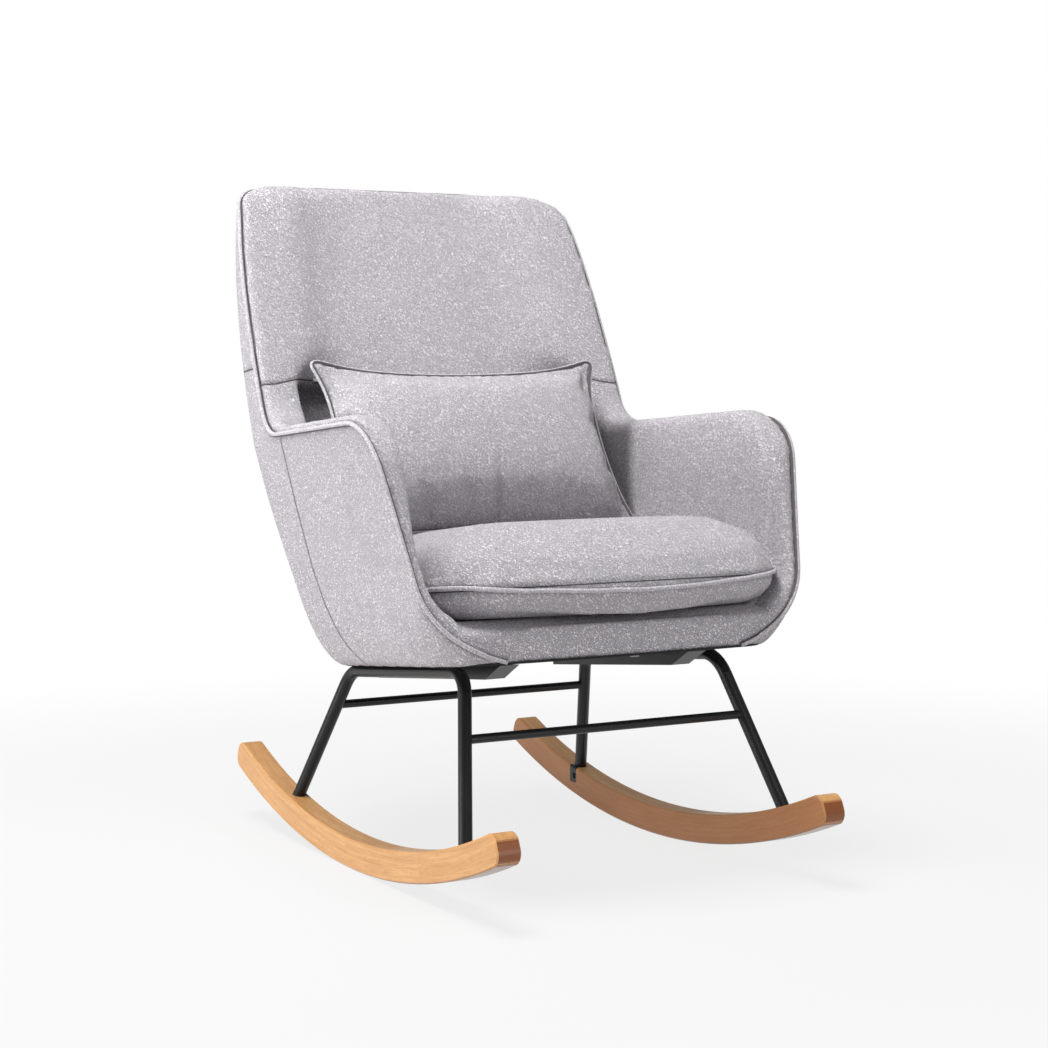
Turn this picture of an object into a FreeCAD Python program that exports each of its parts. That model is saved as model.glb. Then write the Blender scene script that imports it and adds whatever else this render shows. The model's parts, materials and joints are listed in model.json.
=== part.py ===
import FreeCAD, Part
import math
import os

# Upholstered rocking armchair on two bent-wood rockers.
# Millimetres. X runs across the chair, -Y is the front, +Z is up.
# The origin lies on the floor, midway between the two rockers' contact lines.

# Overall sizes of the upholstered tub, and the depth of its foot as a share
TUB_HEIGHT = 756.0
TUB_HALF_WIDTH = 350.0
TUB_DEPTH = 350.0
TUB_FOOT_SHARE = 0.457
REAR_RAIL_DEPTH = 31.95
REAR_RAIL_FRONT_Y = TUB_FOOT_SHARE * TUB_DEPTH - REAR_RAIL_DEPTH

# Rockers
ROCKER_RADIUS = 1197.0
ROCKER_THICKNESS = 43.5
ROCKER_WIDTH = 35.0
ROCKER_INSET = 97.5
ROCKER_HALF_SPACING = TUB_HALF_WIDTH - ROCKER_INSET
ROCKER_FRONT_ANGLE = 23.0
ROCKER_REAR_ANGLE = 21.8
ROCKER_END_ROUND = 17.0
ROCKER_EDGE_BEVEL = 2.0

# Leg hoops, one bent tube a side
TUBE_DIAMETER = 19.0
TUBE_WALL = 1.6
HOOP_BEND_RADIUS = 44.0
TUBE_SIDES = 24
BORE_SIDES = 10
BEND_STEPS = 6
REAR_FOOT_Y = 230.0
REAR_FOOT_INSET = 3.0
FRONT_FOOT_Y = -339.5
RAIL_INSET = 147.0
RAIL_HALF_SPACING = TUB_HALF_WIDTH - RAIL_INSET
RAIL_REAR_OFFSET = 14.5
RAIL_REAR_Y = REAR_RAIL_FRONT_Y + RAIL_REAR_OFFSET
RAIL_FRONT_Y = -235.2

# Cross bars between the hoops
BAR_DIAMETER = 12.5
BAR_WALL = 1.5
REAR_BAR_SHARE = 0.73
FRONT_BAR_SHARE = 0.60

# Feet: a flat tang on the inner face at the rear, a stud at the front
TANG_THICKNESS = 6.0
TANG_WIDTH = 20.0
TANG_DEPTH = 26.0
STUD_DIAMETER = 10.0
STUD_LENGTH = 24.0
SCREW_DIAMETER = 5.0
SCREW_HEAD_DIAMETER = 9.0
SCREW_HEAD_HEIGHT = 2.0
ROCKER_SCREW_LENGTH = 22.0
SCREW_DROP_SHARE = 0.6

# The seat unit is built level and tilted back on the hoops
SEAT_TILT = 6.28
SEAT_PLANE_HEIGHT = 291.5
SEAT_PLANE_Y = -8.0

# Mounting steel below the seat
BEAM_INSET = 53.0
BEAM_HALF_SPACING = RAIL_HALF_SPACING - BEAM_INSET
BEAM_WIDTH = 30.0
BEAM_DEPTH = 19.0
BEAM_WALL = 2.5
BEAM_FRONT_Y = -266.0
BEAM_NOSE_LENGTH = 46.0
BEAM_REAR_Y = REAR_RAIL_FRONT_Y
STRAP_THICKNESS = 4.0
STRAP_WIDTH = 42.0
STRAP_FRONT_Y = -165.0
STRAP_REAR_SETBACK = 36.0
STRAP_REAR_Y = REAR_RAIL_FRONT_Y - STRAP_REAR_SETBACK
BOLT_DIAMETER = 8.0
BOLT_HEAD_ACROSS = 13.0
BOLT_HEAD_HEIGHT = 5.3
BOLT_INSET = 42.0
BOLT_HALF_SPACING = BEAM_HALF_SPACING - BOLT_INSET
BOLT_GRIP = 20.0
BOLT_HOLE_RADIUS = 4.6
INSERT_DIAMETER = 12.0
INSERT_LENGTH = 16.0

# Upholstered tub, in the level frame of the seat unit
TUB_FRONT_Y = -326.0
FRONT_BOW = 20.0
REAR_CORNER_RADIUS = 70.0
COVER_THICKNESS = 3.0
SIDE_BOARD_THICKNESS = 12.0
BOARD_EDGE_INSET = 13.0
RABBET = 4.0
SMALLEST_CORNER = 4.0
SOFT_STEPS = 4
SEAM_STEPS = 12

# Height of each section, and its half widths, depths and front corner, as shares
LEVEL_SHARES = (0.0, 0.012, 0.028, 0.053, 0.1, 0.165, 0.24, 0.32, 0.4, 0.458, 0.567, 0.709, 0.83, 0.93, 1.03)
REAR_WIDTH_SHARES = (
    0.669, 0.694, 0.714, 0.734, 0.760, 0.786, 0.814, 0.843, 0.866, 0.879, 0.880, 0.873, 0.857, 0.831, 0.800,
)
FRONT_WIDTH_SHARES = (
    0.737, 0.766, 0.791, 0.820, 0.849, 0.874, 0.903, 0.934, 0.968, 0.991, 1.006, 1.006, 1.006, 1.006, 1.006,
)
REAR_DEPTH_SHARES = (
    TUB_FOOT_SHARE, 0.483, 0.511, 0.543, 0.586, 0.631, 0.680, 0.727, 0.771, 0.800, 0.857, 0.917, 0.957, 0.980, 0.997,
)
FRONT_CORNER_SHARES = (
    1.114, 1.014, 0.886, 0.686, 0.429, 0.229, 0.200, 0.200, 0.200, 0.200, 0.200, 0.200, 0.200, 0.200, 0.200,
)
FRONT_WALL_SHARES = (
    0.50, 0.50, 0.50, 0.50, 0.50, 0.50, 0.60, 0.78, 0.91, 1.0, 1.0, 1.0, 1.0, 1.0, 1.0,
)
REAR_WALL_SHARES = (
    0.55, 0.55, 0.55, 0.55, 0.55, 0.56, 0.72, 0.90, 1.06, 1.12, 1.03, 0.98, 0.95, 0.93, 0.9,
)
WALL_THICKNESS = 45.0
INNER_BACK_SETBACK = 143.0
INNER_BACK_Y = TUB_DEPTH - INNER_BACK_SETBACK
INNER_BACK_HEIGHT = 427.0
INNER_BACK_SLOPE = 0.329
INNER_CORNER_RADIUS = 62.0
BACK_PAD_THICKNESS = 34.0
BACK_PAD_TOP_THICKNESS = 18.0
BACK_FRAME_DEPTH = 32.0
WING_LINING = 12.0

# Side outline of arms and wings
ARM_FRONT_LOW_Y = -327.0
ARM_FRONT_BEND_Y = -314.0
ARM_FRONT_BEND_HEIGHT = 72.0
ARM_FRONT_TOP_Y = -261.0
ARM_TOP_FRONT_HEIGHT = 329.5
ARM_FRONT_ROUND = 88.0
WING_FOOT_SETBACK = 192.0
WING_FOOT_Y = TUB_DEPTH - WING_FOOT_SETBACK
WING_FOOT_HEIGHT = 346.0
WING_FOOT_ROUND = 58.0
WING_TOP_SETBACK = 57.5
WING_TOP_Y = TUB_DEPTH - WING_TOP_SETBACK
BACK_TOP_ROUND = 74.0
BACK_TOP_DIP = 3.0
BACK_TOP_SWEEP = 3000.0
BACK_SHOULDER_DROP = 92.0
BACK_SHOULDER_HEIGHT = TUB_HEIGHT - BACK_SHOULDER_DROP
BACK_SHOULDER_INSET = 48.0
BACK_SHOULDER_HALF_WIDTH = TUB_HALF_WIDTH - BACK_SHOULDER_INSET
BACK_CORNER_INSET = 62.0
BACK_CORNER_HALF_WIDTH = TUB_HALF_WIDTH - BACK_CORNER_INSET

# Seam between arm cover and back cover, as (depth, height) shares
SEAM_SHARES = ((-0.031, 0.0), (0.023, 0.028), (0.100, 0.070), (0.205, 0.178), (0.232, 0.275), (0.272, 0.443))
BACK_SEAM_HEIGHT = 434.0

# Seat frame of four rails, webbing and deck
SEAT_RAIL_HEIGHT = 44.0
SIDE_RAIL_INSET = 3.0
SIDE_RAIL_INNER_X = RAIL_HALF_SPACING - SIDE_RAIL_INSET
FRONT_RAIL_REAR_Y = -250.0
CROSS_RAIL_WIDTH = 46.0
DUST_COVER_THICKNESS = 1.2
WEB_WIDTH = 50.0
WEB_THICKNESS = 1.5
WEB_LENGTHWISE = 5
WEB_CROSSWISE = 5
BACK_POST_INSET = 114.0
BACK_POST_WIDTH = 24.0
BACK_POST_OUTER_X = TUB_HALF_WIDTH - BACK_POST_INSET
BACK_POST_INNER_X = BACK_POST_OUTER_X - BACK_POST_WIDTH
BACK_RAIL_HEIGHT = 40.0
BACK_WEB_COUNT = 5
BACK_WEB_LOW = 150.0
BACK_WEB_PITCH = 105.0
BACK_EDGE = 14.0
BACK_PAD_HALF_WIDTH = BACK_POST_OUTER_X
SEAT_RAIL_LAP = 16.0
BOARD_REAR_SETBACK = 230.0
BOARD_REAR_Y = TUB_DEPTH - BOARD_REAR_SETBACK

# Welt cords
WELT_RADIUS = 3.0
WELT_GAP = 0.4
WELT_STEPS = 6
CORD_SIDES = 6
WELT_FOOT_HEIGHT = 12.0

# Clearance between a loose piece and what it lies on
SOFT_GAP = 0.3

# Loose seat cushion
CUSHION_FRONT_OVERHANG = 22.0
CUSHION_FRONT_Y = TUB_FRONT_Y - CUSHION_FRONT_OVERHANG
CUSHION_BACK_CLEARANCE = 113.5
CUSHION_REAR_Y = INNER_BACK_Y - CUSHION_BACK_CLEARANCE
CUSHION_FRONT_INSET = 84.5
CUSHION_FRONT_HALF_WIDTH = TUB_HALF_WIDTH - CUSHION_FRONT_INSET
CUSHION_REAR_INSET = 114.0
CUSHION_REAR_HALF_WIDTH = TUB_HALF_WIDTH - CUSHION_REAR_INSET
CUSHION_FRONT_CORNER = 96.0
CUSHION_REAR_CORNER = 66.0
CUSHION_FRONT_BOW = 24.0
CUSHION_BOTTOM = 58.0
CUSHION_TOP = 187.0
CUSHION_EDGE_INSET = 64.0
CUSHION_REAR_INSET_SHARE = 0.4
CUSHION_LEVEL_SHARES = (0.0, 0.05, 0.16, 0.35, 0.55, 0.72, 0.86, 0.95, 1.0)
CUSHION_INSET_SHARES = (0.62, 0.36, 0.13, 0.0, 0.05, 0.20, 0.52, 0.98, 1.70)
CUSHION_COVER_THICKNESS = 2.5
ZIP_HEIGHT = 80.0
ZIP_WIDTH = 12.0
ZIP_LENGTH = 360.0
ZIP_THICKNESS = 1.6

# Lumbar pillow
PILLOW_SIDE_INSET = 112.0
PILLOW_HALF_WIDTH = TUB_HALF_WIDTH - PILLOW_SIDE_INSET
PILLOW_HEIGHT = 272.0
PILLOW_FRONT_BELLY = 66.0
PILLOW_REAR_BELLY = 72.3
PILLOW_EDGE_SAG = 15.0
PILLOW_FOOT_SAG = 3.0
PILLOW_BACK_CLEARANCE = 162.0
PILLOW_FOOT_Y = INNER_BACK_Y - PILLOW_BACK_CLEARANCE
PILLOW_FOOT_HEIGHT = 190.5
PILLOW_LEAN = 20.3
PILLOW_TAPER = 7.0
PILLOW_CORNER_ROUND = 16.0
PILLOW_COVER_THICKNESS = 2.0
PILLOW_WELT_RADIUS = 2.4
PILLOW_LEVEL_SHARES = (-1.0, -0.9, -0.7, -0.4, 0.0, 0.4, 0.7, 0.9, 1.0)
PILLOW_SIZE_SHARES = (0.28, 0.52, 0.74, 0.90, 1.0, 0.90, 0.74, 0.52, 0.28)

# A turn or a rise smaller than this counts as none
FLAT_TURN = 1e-6

# How far every cutting block runs past the work
OVERRUN = 60.0


def vec(x, y, z):
    return FreeCAD.Vector(x, y, z)


def across_x(outline, low, high):
    """Solid from a closed outline of (y, z) edges, swept across the chair."""
    face = Part.Face(outline)
    face.translate(vec(low, 0, 0))
    return face.extrude(vec(high - low, 0, 0))


def faceted(outline, steps):
    """Points of an outline whose arcs become so many straight steps."""
    points = []
    for edge in outline.OrderedEdges:
        curved = edge.Curve.TypeId == "Part::GeomCircle"
        points += edge.discretize(steps + 1 if curved else 2)[:-1]
    return points


def flat_face(points):
    return Part.Face(Part.makePolygon(points + points[:1]))


def wall_faces(low, low_next, high_next, high):
    """One flat face, or two triangles split alike on both sides of the chair."""
    normal = (low_next - low).cross(high - low)
    normal.normalize()
    if abs((high_next - low).dot(normal)) < FLAT_TURN:
        return [flat_face([low, low_next, high_next, high])]
    if low.y > low_next.y:
        return [flat_face([low, low_next, high_next]), flat_face([low, high_next, high])]
    return [flat_face([low, low_next, high]), flat_face([low_next, high_next, high])]


def ruled_solid(rings):
    """Solid of flat faces through rings of equal count, closed at both ends."""
    faces = [flat_face(rings[0]), flat_face(rings[-1])]
    for low, high in zip(rings, rings[1:]):
        low_turned = low[1:] + low[:1]
        high_turned = high[1:] + high[:1]
        for corners in zip(low, low_turned, high_turned, high):
            faces += wall_faces(*corners)
    solid = Part.Solid(Part.Shell(faces))
    if solid.Volume < 0:
        solid.reverse()
    return solid


def rounded_points(points, radii):
    """Edges of a closed outline whose corners are arcs of the given radii."""
    count = len(points)
    starts = []
    ends = []
    middles = []
    for index, corner in enumerate(points):
        before = points[index - 1] - corner
        after = points[(index + 1) % count] - corner
        before.normalize()
        after.normalize()
        half_angle = before.getAngle(after) / 2
        radius = radii[index]
        reach = radius / math.tan(half_angle)
        bisector = before + after
        bisector.normalize()
        starts.append(corner + before * reach)
        ends.append(corner + after * reach)
        middles.append(corner + bisector * (radius / math.sin(half_angle) - radius))
    edges = []
    for index in range(count):
        if radii[index] > 0:
            edges.append(Part.Arc(starts[index], middles[index], ends[index]).toShape())
        follower = (index + 1) % count
        if (starts[follower] - ends[index]).Length > FreeCAD.Base.Precision.confusion():
            edges.append(Part.LineSegment(ends[index], starts[follower]).toShape())
    return Part.Wire(edges)


def box(low, high):
    """Axis-aligned block between two corners."""
    size = [b - a for a, b in zip(low, high)]
    return Part.makeBox(size[0], size[1], size[2], vec(*low))


def cylinder(base, direction, radius, length):
    return Part.makeCylinder(radius, length, base, direction)


def socket(x, y, low, high, radius):
    """Upright many-sided peg that cuts or fills a hidden hole."""
    peg = flat_face(cord_ring(vec(x, y, low), vec(0, 0, 1), vec(1, 0, 0), radius, BORE_SIDES))
    return peg.extrude(vec(0, 0, high - low))


def mirrored(shape):
    """The same piece on the other side of the chair."""
    return shape.mirror(vec(0, 0, 0), vec(1, 0, 0))


def unit_place(shape):
    """Tilt a piece of the level seat unit back and lift it to its height."""
    placed = shape.copy()
    placed.rotate(vec(0, 0, 0), vec(1, 0, 0), -SEAT_TILT)
    placed.translate(vec(0, SEAT_PLANE_Y, SEAT_PLANE_HEIGHT))
    return placed


def unit_point(x, y, z):
    """Where a point of the level seat unit lies on the chair."""
    tilt = math.radians(SEAT_TILT)
    depth = SEAT_PLANE_Y + y * math.cos(tilt) + z * math.sin(tilt)
    height = SEAT_PLANE_HEIGHT - y * math.sin(tilt) + z * math.cos(tilt)
    return vec(x, depth, height)


def along(start, end, share):
    return start + (end - start) * share


# Rockers

def rocker_top(y):
    """Height of a rocker's upper face at a depth."""
    inner = ROCKER_RADIUS - ROCKER_THICKNESS
    return ROCKER_RADIUS - math.sqrt(inner * inner - y * y)


def rocker_outline():
    """Curved band with rounded ends, in the plane of one side."""
    centre = vec(0, 0, ROCKER_RADIUS)
    inner = ROCKER_RADIUS - ROCKER_THICKNESS

    def spot(radius, angle):
        return centre + vec(0, radius * math.sin(angle), -radius * math.cos(angle))

    low_turn = ROCKER_END_ROUND / (ROCKER_RADIUS - ROCKER_END_ROUND)
    high_turn = ROCKER_END_ROUND / (inner + ROCKER_END_ROUND)
    diagonal = ROCKER_END_ROUND * (1 - math.sqrt(0.5))
    front = math.radians(ROCKER_FRONT_ANGLE)
    rear = math.radians(ROCKER_REAR_ANGLE)
    edges = [
        Part.Arc(spot(ROCKER_RADIUS, low_turn - front), spot(ROCKER_RADIUS, 0),
                 spot(ROCKER_RADIUS, rear - low_turn)).toShape(),
        Part.Arc(spot(inner, rear - high_turn), spot(inner, 0), spot(inner, high_turn - front)).toShape(),
    ]
    for side, reach in ((-1, front), (1, rear)):
        low_start = spot(ROCKER_RADIUS, side * (reach - low_turn))
        low_end = spot(ROCKER_RADIUS - ROCKER_END_ROUND, side * reach)
        high_start = spot(inner + ROCKER_END_ROUND, side * reach)
        high_end = spot(inner, side * (reach - high_turn))
        low_middle = spot(ROCKER_RADIUS - diagonal, side * (reach - diagonal / ROCKER_RADIUS))
        high_middle = spot(inner + diagonal, side * (reach - diagonal / inner))
        edges.append(Part.Arc(low_start, low_middle, low_end).toShape())
        edges.append(Part.LineSegment(low_end, high_start).toShape())
        edges.append(Part.Arc(high_start, high_middle, high_end).toShape())
    return Part.Wire(Part.__sortEdges__(edges))


def rocker_blank():
    """Right-hand rocker before its sockets are cut."""
    low = ROCKER_HALF_SPACING - ROCKER_WIDTH / 2
    blank = across_x(rocker_outline(), low, low + ROCKER_WIDTH)
    rims = [edge for edge in blank.Edges if edge.BoundBox.XLength < ROCKER_EDGE_BEVEL]
    return blank.makeChamfer(ROCKER_EDGE_BEVEL, rims)


# Leg hoops and bars

def hoop_corners():
    """Rear foot, rear bend, front bend and front foot of the right-hand hoop."""
    rail_height = -TUBE_DIAMETER / 2 - SOFT_GAP
    rear_foot = vec(ROCKER_HALF_SPACING - REAR_FOOT_INSET, REAR_FOOT_Y, rocker_top(REAR_FOOT_Y))
    front_foot = vec(ROCKER_HALF_SPACING, FRONT_FOOT_Y, rocker_top(FRONT_FOOT_Y))
    rear_bend = unit_point(RAIL_HALF_SPACING, RAIL_REAR_Y, rail_height)
    front_bend = unit_point(RAIL_HALF_SPACING, RAIL_FRONT_Y, rail_height)
    return rear_foot, rear_bend, front_bend, front_foot


def bent_path(corners, radius):
    """Open run of straight lines joined by tangent arcs."""
    edges = []
    last = corners[0]
    for before, corner, after in zip(corners, corners[1:], corners[2:]):
        back = before - corner
        ahead = after - corner
        back.normalize()
        ahead.normalize()
        half_angle = back.getAngle(ahead) / 2
        reach = radius / math.tan(half_angle)
        bisector = back + ahead
        bisector.normalize()
        start = corner + back * reach
        middle = corner + bisector * (radius / math.sin(half_angle) - radius)
        end = corner + ahead * reach
        edges.append(Part.LineSegment(last, start).toShape())
        edges.append(Part.Arc(start, middle, end).toShape())
        last = end
    edges.append(Part.LineSegment(last, corners[-1]).toShape())
    return Part.Wire(edges)


def hoop_rods():
    """Many-sided rod and bore of the right-hand hoop, run past the feet."""
    rear_foot, rear_bend, front_bend, front_foot = hoop_corners()
    past = TUBE_DIAMETER / (rear_foot - rear_bend).Length
    corners = [along(rear_bend, rear_foot, 1 + past), rear_bend, front_bend, along(front_bend, front_foot, 1 + past)]
    stations = faceted(bent_path(corners, HOOP_BEND_RADIUS), BEND_STEPS) + [corners[-1]]
    across = vec(1, 0, 0)
    rod = cord(stations, across, TUBE_DIAMETER / 2, TUBE_SIDES)
    return rod, cord(stations, across, TUBE_DIAMETER / 2 - TUBE_WALL, BORE_SIDES)


def crossbar(foot, bend, share, leg_rods):
    """Bar between the two legs, its ends shaped to the tubes."""
    place = along(foot, bend, share)
    start = vec(-place.x, place.y, place.z)
    outer = cylinder(start, vec(1, 0, 0), BAR_DIAMETER / 2, 2 * place.x)
    inner = cylinder(start, vec(1, 0, 0), BAR_DIAMETER / 2 - BAR_WALL, 2 * place.x)
    bar = outer.cut(inner)
    for rod in leg_rods:
        bar = bar.cut(rod)
    return max(bar.Solids, key=lambda solid: solid.Volume)


# Mounting steel

def mount_beam():
    """Right-hand channel below the seat, with a slanted nose."""
    top = -STRAP_THICKNESS
    corners = [
        vec(0, BEAM_FRONT_Y, top), vec(0, BEAM_REAR_Y, top),
        vec(0, BEAM_REAR_Y, top - BEAM_DEPTH), vec(0, BEAM_FRONT_Y + BEAM_NOSE_LENGTH, top - BEAM_DEPTH),
    ]
    low = BEAM_HALF_SPACING - BEAM_WIDTH / 2
    outer = across_x(Part.makePolygon(corners + corners[:1]), low, low + BEAM_WIDTH)
    inside = [
        vec(0, BEAM_FRONT_Y + 2 * BEAM_WALL, top + BEAM_WALL),
        vec(0, BEAM_REAR_Y - BEAM_WALL, top + BEAM_WALL),
        vec(0, BEAM_REAR_Y - BEAM_WALL, top - BEAM_DEPTH + BEAM_WALL),
        vec(0, BEAM_FRONT_Y + BEAM_NOSE_LENGTH + BEAM_WALL, top - BEAM_DEPTH + BEAM_WALL),
    ]
    hollow = across_x(Part.makePolygon(inside + inside[:1]), low + BEAM_WALL, low + BEAM_WIDTH - BEAM_WALL)
    return outer.cut(hollow)


def mount_strap(y, hoops):
    """Flat bar from hoop to hoop, drilled for the seat bolts."""
    strap = box((-RAIL_HALF_SPACING, y - STRAP_WIDTH / 2, -STRAP_THICKNESS),
                (RAIL_HALF_SPACING, y + STRAP_WIDTH / 2, -SOFT_GAP))
    for side in (-1, 1):
        strap = strap.cut(socket(side * BOLT_HALF_SPACING, y, -OVERRUN, 0, BOLT_HOLE_RADIUS))
    strap = unit_place(strap)
    for hoop in hoops:
        strap = strap.cut(hoop)
    return max(strap.Solids, key=lambda solid: solid.Volume)


def bolt_places():
    for y in (STRAP_FRONT_Y, STRAP_REAR_Y):
        for side in (-1, 1):
            yield side * BOLT_HALF_SPACING, y


def seat_bolt(x, y):
    """Hexagon-headed bolt up through the strap into its insert."""
    head_radius = BOLT_HEAD_ACROSS / math.sqrt(3)
    corners = []
    for corner in range(6):
        angle = math.pi * corner / 3
        corners.append(vec(x + head_radius * math.cos(angle), y + head_radius * math.sin(angle), -STRAP_THICKNESS))
    head = Part.Face(Part.makePolygon(corners + corners[:1])).extrude(vec(0, 0, -BOLT_HEAD_HEIGHT))
    shank = socket(x, y, -STRAP_THICKNESS, BOLT_GRIP, BOLT_DIAMETER / 2)
    return head.fuse(shank).removeSplitter()


def threaded_insert(x, y):
    """Sleeve round a bolt, its thread plain."""
    low = DUST_COVER_THICKNESS
    high = low + INSERT_LENGTH
    return socket(x, y, low, high, INSERT_DIAMETER / 2).cut(socket(x, y, low, high, BOLT_DIAMETER / 2))


# Sections of the upholstered tub

def level_height(level):
    return LEVEL_SHARES[level] * TUB_HEIGHT


def rear_half_width(level):
    return REAR_WIDTH_SHARES[level] * TUB_HALF_WIDTH


def front_half_width(level):
    return FRONT_WIDTH_SHARES[level] * TUB_HALF_WIDTH


def plan_outline(front_x, rear_x, front_y, rear_y, front_round, rear_round, bow, z):
    """Closed outline at one height, rounded at its corners and bowed in front."""
    diagonal = 1 - math.sqrt(0.5)

    def corner(side):
        return (
            vec(side * front_x, front_y + front_round, z),
            vec(side * rear_x, rear_y - rear_round, z),
            vec(side * (rear_x - rear_round * diagonal), rear_y - rear_round * diagonal, z),
            vec(side * (rear_x - rear_round), rear_y, z),
            vec(side * (front_x - front_round), front_y, z),
            vec(side * (front_x - front_round * diagonal), front_y + front_round * diagonal, z),
        )

    right = corner(1)
    left = corner(-1)
    edges = [
        Part.LineSegment(right[0], right[1]).toShape(),
        Part.Arc(right[1], right[2], right[3]).toShape(),
        Part.LineSegment(right[3], left[3]).toShape(),
        Part.Arc(left[3], left[2], left[1]).toShape(),
        Part.LineSegment(left[1], left[0]).toShape(),
        Part.Arc(left[0], left[5], left[4]).toShape(),
        Part.Arc(left[4], vec(0, front_y - bow, z), right[4]).toShape(),
        Part.Arc(right[4], right[5], right[0]).toShape(),
    ]
    return faceted(Part.Wire(edges), SOFT_STEPS)


def tub_section(level, inset):
    """Closed outline of the tub at one level, drawn in by an inset."""
    front_round = FRONT_CORNER_SHARES[level] * REAR_CORNER_RADIUS - inset
    return plan_outline(
        front_half_width(level) - inset, rear_half_width(level) - inset,
        TUB_FRONT_Y + inset, REAR_DEPTH_SHARES[level] * TUB_DEPTH - inset,
        max(front_round, SMALLEST_CORNER), REAR_CORNER_RADIUS - inset, FRONT_BOW, level_height(level),
    )


def tub_body(inset):
    sections = [tub_section(level, inset) for level in range(len(LEVEL_SHARES))]
    return ruled_solid(sections)


def inner_back(z):
    """Depth of the inner back at a height."""
    return INNER_BACK_Y + INNER_BACK_SLOPE * (z - INNER_BACK_HEIGHT)


def pad_thickness(z):
    """Thickness of the back pad, which thins towards its top."""
    return BACK_PAD_THICKNESS + (BACK_PAD_TOP_THICKNESS - BACK_PAD_THICKNESS) * z / TUB_HEIGHT


def back_slab(pads, depth):
    """Leaning block across the chair, from so many pad thicknesses back and so deep."""
    corners = []
    for z, extra in ((-OVERRUN, 0), (TUB_HEIGHT, 0), (TUB_HEIGHT, depth), (-OVERRUN, depth)):
        corners.append(vec(0, inner_back(z) + pad_thickness(z) * pads + extra, z))
    return across_x(Part.makePolygon(corners + corners[:1]), -TUB_HALF_WIDTH, TUB_HALF_WIDTH)


def hollow_section(level):
    """Outline of the sitter's space at one level, open past the front."""
    z = level_height(level)
    rear_x = rear_half_width(level) - WALL_THICKNESS * REAR_WALL_SHARES[level]
    front_x = front_half_width(level) - WALL_THICKNESS * FRONT_WALL_SHARES[level]
    rear_y = inner_back(z)
    corner = INNER_CORNER_RADIUS
    front_y = TUB_FRONT_Y - OVERRUN
    front_x += (front_x - rear_x) * OVERRUN / (rear_y - corner - TUB_FRONT_Y)
    diagonal = 1 - math.sqrt(0.5)

    def side_points(side):
        return (
            vec(side * front_x, front_y, z),
            vec(side * rear_x, rear_y - corner, z),
            vec(side * (rear_x - corner * diagonal), rear_y - corner * diagonal, z),
            vec(side * (rear_x - corner), rear_y, z),
        )

    right = side_points(1)
    left = side_points(-1)
    edges = [
        Part.LineSegment(right[0], right[1]).toShape(),
        Part.Arc(right[1], right[2], right[3]).toShape(),
        Part.LineSegment(right[3], left[3]).toShape(),
        Part.Arc(left[3], left[2], left[1]).toShape(),
        Part.LineSegment(left[1], left[0]).toShape(),
        Part.LineSegment(left[0], right[0]).toShape(),
    ]
    return faceted(Part.Wire(edges), SOFT_STEPS)


def hollow_body():
    sections = [hollow_section(level) for level in range(len(LEVEL_SHARES))]
    return ruled_solid(sections)


def side_outline(inset):
    """Arms and wings seen from the side."""
    rear = TUB_DEPTH + OVERRUN
    points = [
        vec(0, ARM_FRONT_LOW_Y, -OVERRUN), vec(0, ARM_FRONT_LOW_Y, 0),
        vec(0, ARM_FRONT_BEND_Y, ARM_FRONT_BEND_HEIGHT), vec(0, ARM_FRONT_TOP_Y, ARM_TOP_FRONT_HEIGHT),
        vec(0, WING_FOOT_Y, WING_FOOT_HEIGHT), vec(0, WING_TOP_Y, TUB_HEIGHT),
        vec(0, rear, TUB_HEIGHT), vec(0, rear, -OVERRUN),
    ]
    radii = [0, 0, ARM_FRONT_ROUND, ARM_FRONT_ROUND - inset, WING_FOOT_ROUND + inset, WELT_RADIUS, 0, 0]
    return rounded_points(inset_points(points, inset), radii)


def side_profile(inset):
    """Block across the chair with the outline of arms and wings."""
    return across_x(side_outline(inset), -TUB_HALF_WIDTH - OVERRUN, TUB_HALF_WIDTH + OVERRUN)


def inset_points(points, inset):
    """Move every side of an outline inwards, but for the last two, which run free."""
    count = len(points)
    moved = []
    for index in range(count):
        before = points[index] - points[index - 1]
        after = points[(index + 1) % count] - points[index]
        before.normalize()
        after.normalize()
        first = inset if (index - 1) % count < count - 2 else 0
        second = inset if index < count - 2 else 0
        normal_first = vec(0, before.z, -before.y) * first
        normal_second = vec(0, after.z, -after.y) * second
        turn = before.y * after.z - before.z * after.y
        gap = normal_second - normal_first
        slide = (gap.y * after.z - gap.z * after.y) / turn if abs(turn) > FLAT_TURN else 0
        moved.append(points[index] + normal_first + before * slide)
    return moved


def top_outline():
    """Back seen from the front, with its round shoulders and dipped top edge."""
    wide = TUB_HALF_WIDTH + OVERRUN
    right = [
        vec(0, wide, -OVERRUN), vec(0, wide, BACK_SHOULDER_HEIGHT - OVERRUN),
        vec(0, BACK_SHOULDER_HALF_WIDTH, BACK_SHOULDER_HEIGHT), vec(0, BACK_CORNER_HALF_WIDTH, TUB_HEIGHT),
    ]
    left = [vec(0, -point.y, point.z) for point in reversed(right)]
    points = right + [vec(0, 0, TUB_HEIGHT - BACK_TOP_DIP)] + left
    radii = [0, 0, 0, BACK_TOP_ROUND, BACK_TOP_SWEEP, BACK_TOP_ROUND, 0, 0, 0]
    plate = across_x(rounded_points(points, radii), -TUB_DEPTH - OVERRUN, TUB_DEPTH + OVERRUN)
    plate.rotate(vec(0, 0, 0), vec(0, 0, 1), -90)
    return plate


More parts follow.
